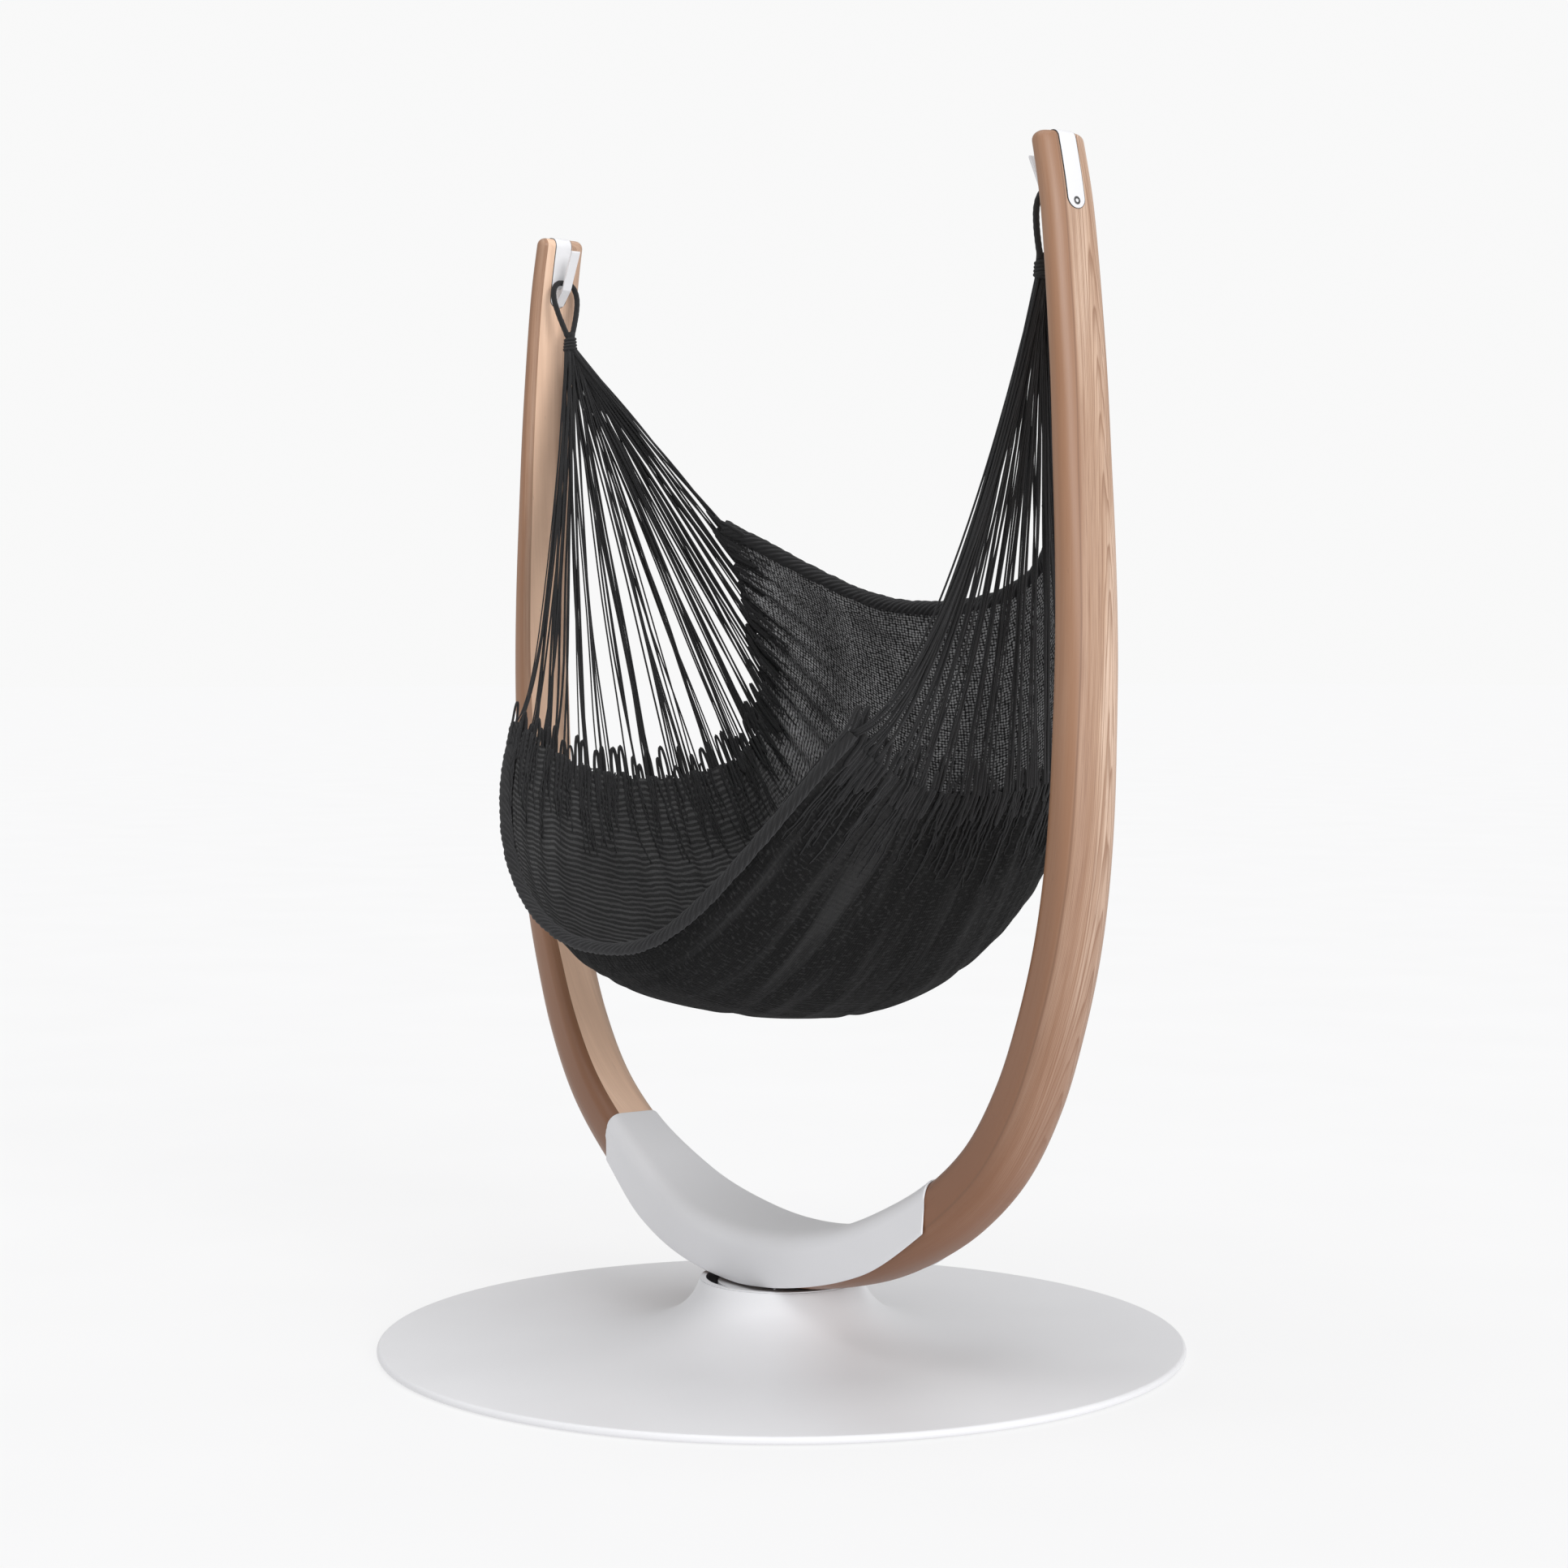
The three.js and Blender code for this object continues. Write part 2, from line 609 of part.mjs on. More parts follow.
// Frame of the hook: origin on the inner face at the throat's height, inward and up along the face.
function hookFrame() {
  let length = ARM_LENGTH;
  while (armFrame(length).inner.z > HOOK_HEIGHT) {
    length -= 0.5;
  }
  const frame = armFrame(length);
  return { origin: frame.inner, inward: frame.out.clone().negate(), up: frame.along, length };
}

const hookPlace = hookFrame();
const HOOK_BACK = STRAP_THICK - STRAP_SUNK + 4 * GAP;
const THROAT_X = hookPlace.origin.x - HOOK_BACK - HOOK_THROAT;

function hookBody(side) {
  const throat = HOOK_BACK + HOOK_THROAT;
  const blade = throat + HOOK_THROAT;
  const tip = blade + HOOK_LEAN;
  const outline = [
    [HOOK_BACK, -35], [HOOK_BACK + 3, -36], [HOOK_BACK + 9, -27], [blade + 1, -8], [blade + HOOK_BLADE, 3],
    [tip + HOOK_BLADE, HOOK_RISE - 2], [tip + HOOK_BLADE - 1, HOOK_RISE], [tip + 0.5, HOOK_RISE],
    [tip - 0.5, HOOK_RISE - 2],
    ...arcPoints(throat, HOOK_THROAT_RISE, HOOK_THROAT, 0, -180, 8),
  ];
  const shape = outline.map(([a, b]) => new THREE.Vector2(a, b));
  const rings = [-HOOK_WIDTH / 2, HOOK_WIDTH / 2].map((y) => shape.map((p) => {
    const q = hookPlace.origin.clone().addScaledVector(hookPlace.inward, p.x);
    q.addScaledVector(hookPlace.up, p.y);
    return new THREE.Vector3(side * q.x, y, q.z);
  }));
  return loft(rings, [shape, shape]);
}

// The bolt through strap, arm and hook root, across the arm at one height.
function boltLine(side) {
  let length = hookPlace.length;
  while (armFrame(length).inner.z > BOLT_HEIGHT) {
    length -= 0.5;
  }
  const frame = armFrame(side * length);
  const depth = armSize(length, 2) + STRAP_THICK - STRAP_SUNK;
  const head = frame.inner.clone().addScaledVector(frame.out, depth);
  return { head, inward: frame.out.clone().negate(), depth };
}

const BOLT_SHANK = 3;
const BOLT_HEAD = 5.5;
const BOLT_HEAD_HEIGHT = 1.8;
const BOLT_SUNK = 0.2;              // head below the strap's face
const BOLT_BITE = 3.5;              // how far the bolt enters the hook's root

function hookBolt(side) {
  const { head, inward, depth } = boltLine(side);
  const top = head.clone().addScaledVector(inward, BOLT_SUNK);
  const length = depth + HOOK_BACK + BOLT_BITE - BOLT_SUNK;
  const stem = rod(top, inward, BOLT_SHANK, length, 12);
  const cap = rod(top, inward, BOLT_HEAD, BOLT_HEAD_HEIGHT, 24);
  const socket = rod(top.clone().addScaledVector(inward, -1), inward, 2, 2.3, 6);
  return cut(join([cap, stem]), [socket]);
}

function boltHole(side) {
  const { head, inward, depth } = boltLine(side);
  const start = head.clone().addScaledVector(inward, -4);
  return [
    rod(start, inward, BOLT_SHANK + GAP, 4 + depth + HOOK_BACK + BOLT_BITE + GAP, 16),
    rod(start, inward, BOLT_HEAD + GAP, 4 + BOLT_SUNK + BOLT_HEAD_HEIGHT + GAP, 24),
  ];
}

// ---------- saddle cover ----------

// Line over the inner face and down both sides of the arm, at a height over the wood.
// Each point is (outward, y, share of the way from the face to the skirt's lower edge).
function saddleLine(length, offset) {
  const half = armSize(length, 1) / 2 + offset;
  const taper = THREE.MathUtils.smoothstep(Math.abs(length), SADDLE_TAPER_START, SADDLE_REACH);
  const skirt = armSize(length, 2) * (SADDLE_SKIRT_SHARE - SADDLE_SKIRT_TAPER * taper);
  const edge = armSize(length, 3) + offset;
  const points = [[skirt, -half, 1], [(skirt + edge) / 2, -half, 0.7]];
  arcPoints(edge - offset, edge - half, edge, 270, 180, SADDLE_EDGE_STEPS).forEach(([n, y], i) => {
    points.push([n, y, 0.4 * (1 - i / SADDLE_EDGE_STEPS)]);
  });
  return [...points, ...points.map(([n, y, share]) => [n, -y, share]).reverse()];
}

// How far each line of the cover runs along the arm: the skirt is shorter and the corner is round.
function saddleReach(share) {
  const drop = share < 0.4 ? 0.3 * (share / 0.4) ** 3 : 0.3 + (0.7 * (share - 0.4)) / 0.6;
  return SADDLE_REACH - (SADDLE_REACH - SADDLE_SKIRT_REACH) * drop;
}

// A point of the cover between two of the arm's sections, where the arm's own surface is straight.
function saddlePoint(length, index, section) {
  const stations = armStations();
  const place = Math.abs(length);
  let i = 0;
  while (place > stations[i + 1]) {
    i++;
  }
  const ends = [stations[i], stations[i + 1]].map((station) => {
    const frame = armFrame(Math.sign(length) * station);
    const [n, y] = section(station)[index];
    return frame.inner.addScaledVector(frame.out, n).setY(y);
  });
  return ends[0].lerp(ends[1], (place - stations[i]) / (stations[i + 1] - stations[i]));
}

function saddleCover() {
  const section = (length) => [
    ...saddleLine(length, GAP + SADDLE_SHEET),
    ...saddleLine(length, GAP).reverse(),
  ];
  const shares = section(0).map((point) => point[2]);
  const low = armStations().slice(1, ARM_LOW_COUNT + 1);
  const places = [-SADDLE_REACH, ...low.map((v) => -v).reverse(), 0, ...low, SADDLE_REACH];
  const rings = places.map((place) => shares.map((share, index) => {
    const reach = saddleReach(share);
    return saddlePoint(THREE.MathUtils.clamp(place, -reach, reach), index, section);
  }));
  const outline = section(SADDLE_REACH).map(([n, y]) => new THREE.Vector2(n, y));
  return loft(rings, [outline, outline]);
}

function buildFrame() {
  const pocket = rod(new THREE.Vector3(0, 0, 50), UP, HUB_RADIUS + 1, HUB_TOP + GAP - 50, 32);
  const screwHoles = circlePlaces(HUB_SCREW_CIRCLE, 4).map((p) => rod(
    new THREE.Vector3(p.x, p.y, HUB_BOTTOM - 5), UP, HUB_SCREW_SHANK + GAP, 45, 12,
  ));
  const grooveReach = SPINE_REACH + 1;
  const groove = barAlong(-grooveReach, grooveReach, SPINE_WIDTH + 2 * GAP, -6, SPINE_THICK + GAP, 14);
  const boltHoles = spineBolts(true);
  for (const [name, side] of [['right', 1], ['left', -1]]) {
    const strapSlot = strapBody(side, -STRAP_SUNK - GAP, 6, GAP);
    const cutters = [pocket, groove, strapSlot, ...screwHoles, ...boltHoles, ...boltHole(side)];
    add(`arm_${name}`, cut(armBlank(side), cutters), wood);
    const strap = strapBody(side, -STRAP_SUNK, STRAP_THICK - STRAP_SUNK, 0);
    add(`tip_strap_${name}`, cut(strap, boltHole(side)), whitePaint);
    add(`hook_${name}`, cut(hookBody(side), [boltHole(side)[0]]), whitePaint);
    add(`hook_bolt_${name}`, hookBolt(side), zinc);
  }
  const spine = barAlong(-SPINE_REACH, SPINE_REACH, SPINE_WIDTH, GAP, SPINE_THICK, 14);
  add('spine_bar', cut(spine, [...boltHoles, ...headRecesses()]), steel);
  spineBolts(false).forEach((bolt, i) => add(`spine_bolt_${i + 1}`, bolt, zinc));
  add('saddle_cover', saddleCover(), whitePaint);
}

// ---------- hammock ----------

const seatMiddle = new THREE.CatmullRomCurve3(SEAT_MIDDLE.map(([y, z]) => new THREE.Vector3(0, y, z)));
const seatEnd = new THREE.CatmullRomCurve3(SEAT_END.map(([x, y, z]) => new THREE.Vector3(x, y, z)));

// Point of the seat: across runs from -1 at the left end to +1 at the right,
// round from 0 at the front rim to 1 at the back rim.
function seatPoint(across, round) {
  const a = Math.abs(across);
  const middle = seatMiddle.getPoint(round);
  const end = seatEnd.getPoint(round);
  return new THREE.Vector3(
    end.x * across,
    middle.y + (end.y - middle.y) * a ** SEAT_POWER_Y,
    middle.z + (end.z - middle.z) * a ** SEAT_POWER_Z,
  );
}

// Direction along the seat's section, towards the back rim.
function seatRun(across, round) {
  const low = seatPoint(across, Math.max(round - 0.01, 0));
  return seatPoint(across, Math.min(round + 0.01, 1)).sub(low).normalize();
}

const SEAT_REACH = 0.982;           // where the woven seat stops, as a share of the way to the end line
const RIM_REACH = 0.955;

// Place round the section of a point at a share of the weave's own width, which stops short of both rims.
function weaveRound(across, share) {
  const room = 2 * RIM_RADIUS + RIM_ROOM;
  const front = (0.1 * room) / seatPoint(across, 0).distanceTo(seatPoint(across, 0.1));
  const back = (0.1 * room) / seatPoint(across, 1).distanceTo(seatPoint(across, 0.9));
  return front + (1 - front - back) * share;
}

function seatSheet(round) {
  const share = THREE.MathUtils.smoothstep(round, 0.15, 0.55);
  return THREE.MathUtils.lerp(SEAT_SHEET_FRONT, SEAT_SHEET_BACK, share);
}

function seatWeave() {
  const stations = 18;
  const samples = 14;
  const rings = [];
  let outline = null;
  for (let i = 0; i <= stations; i++) {
    const across = SEAT_REACH * (-1 + (2 * i) / stations);
    const outer = [];
    const inner = [];
    for (let j = 0; j <= samples; j++) {
      const round = weaveRound(across, j / samples);
      const point = seatPoint(across, round);
      const run = seatRun(across, round);
      const inward = new THREE.Vector3(0, -run.z, run.y).normalize();
      outer.push(point);
      inner.push(point.clone().addScaledVector(inward, seatSheet(round)));
    }
    const ring = [...outer, ...inner.reverse()];
    rings.push(ring);
    outline = ring.map((p) => new THREE.Vector2(p.y, p.z));
  }
  return loft(rings, [outline, outline]);
}

function rimCord(round) {
  const points = [];
  const inward = round === 0 ? 1 : -1;
  for (let i = 0; i <= 16; i++) {
    const across = RIM_REACH * (-1 + (2 * i) / 16);
    points.push(seatPoint(across, round).addScaledVector(seatRun(across, round), inward * RIM_RADIUS));
  }
  return tube(points, RIM_RADIUS, 22, 8);
}

function endCord(side) {
  const points = [];
  for (let i = 0; i <= 14; i++) {
    const point = seatEnd.getPoint(weaveRound(1, i / 14));
    points.push(new THREE.Vector3(side * point.x, point.y, point.z));
  }
  return tube(points, END_CORD_RADIUS, 24, 8);
}

function stringFan(side) {
  const steps = 6;
  const samples = 14;
  const apex = new THREE.Vector3(APEX[0], 0, APEX[1]);
  const axisEnd = new THREE.Vector3(...FAN_AXIS_END);
  const rings = [];
  for (let i = 0; i <= steps; i++) {
    const outer = [];
    const inner = [];
    for (let j = 0; j <= samples; j++) {
      const end = seatEnd.getPoint(j / samples);
      const stop = 1 - END_CORD_ROOM / end.distanceTo(apex);
      const share = FAN_START + ((stop - FAN_START) * i) / steps;
      const point = apex.clone().lerp(end, share);
      const loose = Math.max(1 - j / samples / FAN_SAG_ROUND, 0);
      point.z -= FAN_SAG * loose * 4 * share * (1 - share);
      const axis = apex.clone().lerp(axisEnd, share);
      const inwardPull = Math.min(FAN_SHEET, point.distanceTo(axis) * 0.5);
      outer.push(point);
      inner.push(point.clone().addScaledVector(axis.sub(point).normalize(), inwardPull));
    }
    rings.push([...outer, ...inner.reverse()].map((p) => new THREE.Vector3(side * p.x, p.y, p.z)));
  }
  const flat = (ring) => ring.map((p) => new THREE.Vector2(p.y, p.z));
  return loft(rings, [flat(rings[0]), flat(rings[steps])]);
}

// The hanging loop, as (y, drop below the throat).
const LOOP_HALF = [[0, 0], [8, 0], [15, 3.5], [20.5, 12], [22.5, 26], [18.5, 48], [11.5, 70], [6, 85]];
const LOOP_LEAN = 19;               // how far inward the loop's lower end hangs

function hangLoop(side) {
  const point = ([y, drop]) => {
    const x = THROAT_X - (drop / LOOP_DROP) * LOOP_LEAN;
    return new THREE.Vector3(side * x, y, HOOK_HEIGHT - drop);
  };
  const points = [
    ...LOOP_HALF.map(point),
    point([0, LOOP_DROP]),
    ...LOOP_HALF.slice(1).reverse().map(([y, drop]) => point([-y, drop])),
  ];
  return tube(points, LOOP_CORD, 28, 8, true);
}

function endWrap(side) {
  const outline = [
    [0, WRAP_BOTTOM], [13, WRAP_BOTTOM], [13, WRAP_BOTTOM + 6],
    [11, WRAP_TOP - 6], [8, WRAP_TOP], [0, WRAP_TOP],
  ];
  const geometry = new THREE.LatheGeometry(outline.map(([r, z]) => new THREE.Vector2(r, z)), 16);
  geometry.rotateX(Math.PI / 2);
  geometry.translate(side * APEX[0], 0, 0);
  return geometry;
}

function buildHammock() {
  for (const [name, side] of [['right', 1], ['left', -1]]) {
    add(`hang_loop_${name}`, hangLoop(side), blackCord);
    add(`end_wrap_${name}`, endWrap(side), blackCord);
    add(`string_fan_${name}`, stringFan(side), blackCord);
    add(`end_cord_${name}`, endCord(side), blackCord);
  }
  add('seat_weave', seatWeave(), blackWeave);
  add('front_rim', rimCord(0), blackCord);
  add('back_rim', rimCord(1), blackCord);
}

buildBase();
buildSwivel();
buildFrame();
buildHammock();

export default stand;
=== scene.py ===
"""Hanging hammock chair in a bentwood U-frame that swivels on a round steel base.

Metres, +Z up, the arms at +X and -X, and the sitter facing -Y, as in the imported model.
"""

import math

import bpy
import numpy as np
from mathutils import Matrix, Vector


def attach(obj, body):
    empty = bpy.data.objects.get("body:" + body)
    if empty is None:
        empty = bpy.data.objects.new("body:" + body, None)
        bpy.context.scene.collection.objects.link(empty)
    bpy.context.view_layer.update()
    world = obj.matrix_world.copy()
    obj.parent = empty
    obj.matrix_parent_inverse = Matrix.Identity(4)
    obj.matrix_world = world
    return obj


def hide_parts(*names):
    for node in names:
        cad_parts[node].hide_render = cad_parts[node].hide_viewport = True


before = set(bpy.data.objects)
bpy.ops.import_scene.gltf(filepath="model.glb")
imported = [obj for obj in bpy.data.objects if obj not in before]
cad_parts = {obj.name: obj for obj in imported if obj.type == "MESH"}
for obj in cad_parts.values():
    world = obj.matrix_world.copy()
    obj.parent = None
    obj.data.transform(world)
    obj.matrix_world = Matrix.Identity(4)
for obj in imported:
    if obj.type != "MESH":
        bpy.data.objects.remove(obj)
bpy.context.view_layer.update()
random = np.random.default_rng(7)

# ---------- sizes, as in the CAD, in metres ----------

BASE_RADIUS = 0.6
DISH_EDGE_TOP = 0.0125
DISH_RIM_RADIUS = 0.00575
DISH_SHEET = 0.003
DISH_FLARE_START = 0.33
DISH_FLARE_HEIGHT = 0.0175
NECK_RADIUS = 0.122
NECK_TOP = 0.0998

# inner face of one arm from the middle of the bottom to the tip, as (x, z), rounded from a fit
ARM_LINE = [
    (0, 0.178), (0.103, 0.185), (0.204, 0.207), (0.3, 0.246), (0.391, 0.297), (0.47, 0.363),
    (0.53, 0.448), (0.573, 0.541), (0.606, 0.635), (0.628, 0.73), (0.642, 0.828), (0.65, 0.928),
    (0.655, 1.033), (0.655, 1.147), (0.65, 1.275), (0.642, 1.428), (0.624, 1.61), (0.602, 1.719),
]
# (share of the arm's length, width along Y, thickness, inner edge radius), adjusted from that fit
ARM_SIZES = [
    (0, 0.157, 0.087, 0.024), (0.07, 0.154, 0.083, 0.024), (0.14, 0.124, 0.084, 0.022),
    (0.22, 0.096, 0.084, 0.02), (0.34, 0.086, 0.078, 0.017), (0.45, 0.089, 0.066, 0.016),
    (0.6, 0.094, 0.048, 0.014), (0.85, 0.089, 0.034, 0.012), (1, 0.082, 0.031, 0.011),
]
ARM_CROWN_POWER = 2.6
ARM_CROWN_SHARE = 0.62
ARM_TIP_ROUND = 0.013
ARM_BUTT_GAP = 0.0005

SADDLE_SHEET = 0.003
SADDLE_REACH = 0.419
SADDLE_SKIRT_REACH = 0.384
SADDLE_SKIRT_SHARE = 0.89
SADDLE_SKIRT_TAPER = 0.2
SADDLE_TAPER_START = 0.25
GAP = 0.0003

STRAP_WIDTH = 0.029
STRAP_THICK = 0.003
STRAP_SUNK = 0.0018
STRAP_OUTER_LENGTH = 0.096
STRAP_INNER_LENGTH = 0.099
HOOK_WIDTH = 0.016
HOOK_THROAT = 0.0105
HOOK_THROAT_RISE = 0.002
HOOK_RISE = 0.058
HOOK_LEAN = 0.014
HOOK_HEIGHT = 1.648
HOOK_BLADE = 0.0036
HOOK_BACK = STRAP_THICK - STRAP_SUNK + 4 * GAP
BOLT_HEIGHT = 1.622

LOOP_CORD = 0.0046
LOOP_DROP = 0.092
LOOP_LEAN = 0.019
LOOP_HALF = [
    (0, 0), (0.008, 0), (0.015, 0.0035), (0.0205, 0.012), (0.0225, 0.026),
    (0.0185, 0.048), (0.0115, 0.07), (0.006, 0.085),
]
LOOP_END = (0.0048, LOOP_DROP - 0.002)
APEX = (0.585, 0, 1.545)
WRAP_BELOW = 0.012
WRAP_ABOVE = 0.011
FAN_SAG = 0.14
FAN_SAG_ROUND = 0.35
SEAT_POWER_Y = 4
SEAT_POWER_Z = 2.35
# seat section at the middle, front rim to back rim
SEAT_MIDDLE = [
    (0, -0.33, 0.617), (0, -0.268, 0.551), (0, -0.15, 0.506), (0, 0, 0.485), (0, 0.122, 0.487),
    (0, 0.23, 0.524), (0, 0.311, 0.602), (0, 0.339, 0.727), (0, 0.343, 0.86), (0, 0.329, 0.995),
    (0, 0.3, 1.116),
]
# seat section at each end
SEAT_END = [
    (0.43, -0.208, 0.928), (0.422, -0.158, 0.886), (0.416, -0.08, 0.85), (0.411, 0.02, 0.833),
    (0.408, 0.12, 0.838), (0.406, 0.205, 0.862), (0.403, 0.25, 0.915), (0.401, 0.262, 0.985),
    (0.4, 0.247, 1.07), (0.4, 0.212, 1.165), (0.4, 0.173, 1.255),
]

# ---------- sizes that only the looks have ----------

FRONT_ROLL_RADIUS = 0.0095
BACK_ROLL_RADIUS = 0.012
ROLL_ROOM = 0.0208
SHEET_LIFT = 0.003
BUNDLES = 23
FEWEST_STRINGS, MOST_STRINGS = 4, 7
END_LOOPS = 58
END_TAILS = 420
SEAM_RADIUS = 0.0007
SEAM_OUT = 0.0004
STRAP_EDGE = 0.0009
LENGTH_LINE = 70                  # of the seat's 220 lines, the one measured for its length
ARM_GRAIN_START = 3.0

WORLD_LIGHT = 0.6
WORLD_SHOWN = 0.945
FLOOR_ALBEDO = 0.2
FLOOR_GLOW = 0.72

CAMERA_DISTANCE = 4.506
CAMERA_HEIGHT = 1.002
CAMERA_TURN = math.radians(53.4)
CAMERA_LENS = 69.2
CAMERA_SHIFT = (0.0016, -0.0704)


# ---------- camera ----------

def make_camera():
    data = bpy.data.cameras.new("Camera")
    data.lens = CAMERA_LENS
    data.sensor_width = 36
    data.shift_x, data.shift_y = CAMERA_SHIFT
    camera = bpy.data.objects.new("Camera", data)
    bpy.context.scene.collection.objects.link(camera)
    camera.location = (
        CAMERA_DISTANCE * math.sin(CAMERA_TURN),
        -CAMERA_DISTANCE * math.cos(CAMERA_TURN),
        CAMERA_HEIGHT,
    )
    camera.rotation_euler = (math.pi / 2, 0, CAMERA_TURN)
    bpy.context.scene.camera = camera


# ---------- mesh helpers ----------

class Batch:
    """Gathers skinned shapes into one mesh with one UV map."""

    def __init__(self):
        self.points = []
        self.faces = []
        self.corners = []
        self.count = 0

    def skin(self, rings, along, around, closed_path=False):
        """Skins rings (count, sides, 3). along is a value for each ring, around one for each side line."""
        rings = np.asarray(rings, float)
        count, sides = rings.shape[:2]
        spans = count if closed_path else count - 1
        i, j = np.divmod(np.arange(spans * sides), sides)
        after = (i + 1) % count
        beside = (j + 1) % sides
        quads = np.stack([i * sides + j, after * sides + j, after * sides + beside, i * sides + beside], 1)
        along = np.asarray(along, float)
        around = np.broadcast_to(np.asarray(around, float), (len(along), sides + 1))
        corners = np.stack([
            np.stack([along[i], around[i, j]], 1), np.stack([along[i + 1], around[i + 1, j]], 1),
            np.stack([along[i + 1], around[i + 1, j + 1]], 1), np.stack([along[i], around[i, j + 1]], 1),
        ], 1)
        flat = rings.reshape(-1, 3)
        tris = np.concatenate([quads[:, [0, 1, 2]], quads[:, [0, 2, 3]]])
        middle = flat.mean(0)
        a, b, c = (flat[tris[:, n]] - middle for n in range(3))
        if np.einsum("ij,ij->i", a, np.cross(b, c)).sum() < 0:
            quads = quads[:, ::-1]
            corners = corners[:, ::-1]
        first = list(range(sides))
        last = [(count - 1) * sides + n for n in range(sides)]
        faces = quads.tolist()
        uv = corners.reshape(-1, 2).tolist()
        if not closed_path:
            for end, turn, row in ((first, rings[0], 0), (last, rings[-1], -1)):
                inside = rings[1 if row == 0 else -2].mean(0)
                normal = np.cross(turn[1] - turn[0], turn[sides // 2] - turn[0])
                outward = np.dot(normal, turn.mean(0) - inside) > 0
                faces.append(end if outward else end[::-1])
                order = range(sides) if outward else range(sides - 1, -1, -1)
                uv.extend([[along[row], around[row, n]] for n in order])
        self.points.append(flat)
        self.faces.extend([[v + self.count for v in face] for face in faces])
        self.corners.extend(uv)
        self.count += len(flat)

    def tube(self, path, radius, sides=8, bumps=0, twist=0.0, depth=0.0, closed=False):
        """A cord along path. bumps strands laid with the given twist, in turns per metre, rib its surface."""
        path = np.asarray(path, float)
        normals, binormals, run = path_frames(path, closed)
        angle = np.linspace(0, 2 * np.pi, sides, endpoint=False)
        radius = np.broadcast_to(np.asarray(radius, float), (len(path),))
        ring = np.ones((len(path), sides))
        if bumps:
            phase = angle[None, :] * bumps + 2 * np.pi * twist * bumps * run[:len(path), None]
            ring = 1 - depth * (1 - np.abs(np.sin(phase / 2)))
        reach = radius[:, None] * ring
        rings = (
            path[:, None, :]
            + normals[:, None, :] * (reach * np.cos(angle))[:, :, None]
            + binormals[:, None, :] * (reach * np.sin(angle))[:, :, None]
        )
        around = np.linspace(0, 2 * np.pi, sides + 1) * radius.mean()
        self.skin(rings, run, around, closed)

    def build(self, name, material, smooth=True):
        mesh = bpy.data.meshes.new(name)
        mesh.from_pydata(np.concatenate(self.points).tolist(), [], self.faces)
        layer = mesh.uv_layers.new(name="UVMap")
        layer.data.foreach_set("uv", np.asarray(self.corners, float).ravel())
        mesh.polygons.foreach_set("use_smooth", [smooth] * len(mesh.polygons))
        mesh.materials.append(material)
        piece = bpy.data.objects.new(name, mesh)
        bpy.context.scene.collection.objects.link(piece)
        return piece


def run_of(points):
    """Length run along a polyline at each of its points."""
    return np.concatenate([[0], np.cumsum(np.linalg.norm(np.diff(points, axis=0), axis=1))])


def path_frames(path, closed=False):
    """Normals and binormals that turn as little as they can along path, and the run of length."""
    run = run_of(np.vstack([path, path[:1]]) if closed else path)
    if closed:
        tangents = np.roll(path, -1, 0) - np.roll(path, 1, 0)
    else:
        tangents = np.gradient(path, axis=0)
    tangents /= np.linalg.norm(tangents, axis=1)[:, None]
    start = np.eye(3)[np.argmin(np.abs(tangents[0]))]
    normals = np.empty_like(path)
    normal = np.cross(tangents[0], start)
    for i, tangent in enumerate(tangents):
        normal = normal - tangent * np.dot(normal, tangent)
        normal /= np.linalg.norm(normal)
        normals[i] = normal
    return normals, np.cross(tangents, normals), run


def catmull(points, places):
    """Points of the centripetal Catmull-Rom curve through points, at places from 0 to 1."""
    points = np.asarray(points, float)
    last = len(points) - 1
    out = []
    for place in np.atleast_1d(places):
        step = min(int(place * last), last - 1)
        t = place * last - step
        p1, p2 = points[step], points[step + 1]
        p0 = points[step - 1] if step > 0 else 2 * points[0] - points[1]
        p3 = points[step + 2] if step + 2 <= last else 2 * points[last] - points[last - 1]
        d0, d1, d2 = (max(np.linalg.norm(b - a), 1e-6) ** 0.5 for a, b in ((p0, p1), (p1, p2), (p2, p3)))
        m1 = ((p1 - p0) / d0 - (p2 - p0) / (d0 + d1) + (p2 - p1) / d1) * d1
        m2 = ((p2 - p1) / d1 - (p3 - p1) / (d1 + d2) + (p3 - p2) / d2) * d1
        cubic = 2 * p1 - 2 * p2 + m1 + m2
        square = -3 * p1 + 3 * p2 - 2 * m1 - m2
        out.append(p1 + m1 * t + square * t * t + cubic * t ** 3)
    return np.array(out)


def resample(path, count):
    """Evenly spaced points along a polyline."""
    path = np.asarray(path, float)
    run = run_of(path)
    places = np.linspace(0, run[-1], count)
    return np.stack([np.interp(places, run, path[:, n]) for n in range(3)], 1)


def smoothstep(value, low, high):
    share = np.clip((np.asarray(value, float) - low) / (high - low), 0, 1)
    return share * share * (3 - 2 * share)


def arc(cx, cy, radius, start, end, steps):
    angles = np.radians(np.linspace(start, end, steps + 1))
    return [(cx + radius * math.cos(a), cy + radius * math.sin(a)) for a in angles]


def uv_values(piece):
    layer = piece.data.uv_layers["UVMap"]
    uv = np.empty(len(layer.data) * 2)
    layer.data.foreach_get("uv", uv)
    return uv.reshape(-1, 2)


def add_uv(piece, name, uv):
    piece.data.uv_layers.new(name=name).data.foreach_set("uv", uv.ravel())


def bevel(piece, width, segments=3, angle=35):
    modifier = piece.modifiers.new("Bevel", "BEVEL")
    modifier.width = width
    modifier.segments = segments
    modifier.limit_method = "ANGLE"
    modifier.angle_limit = math.radians(angle)
    modifier.harden_normals = False


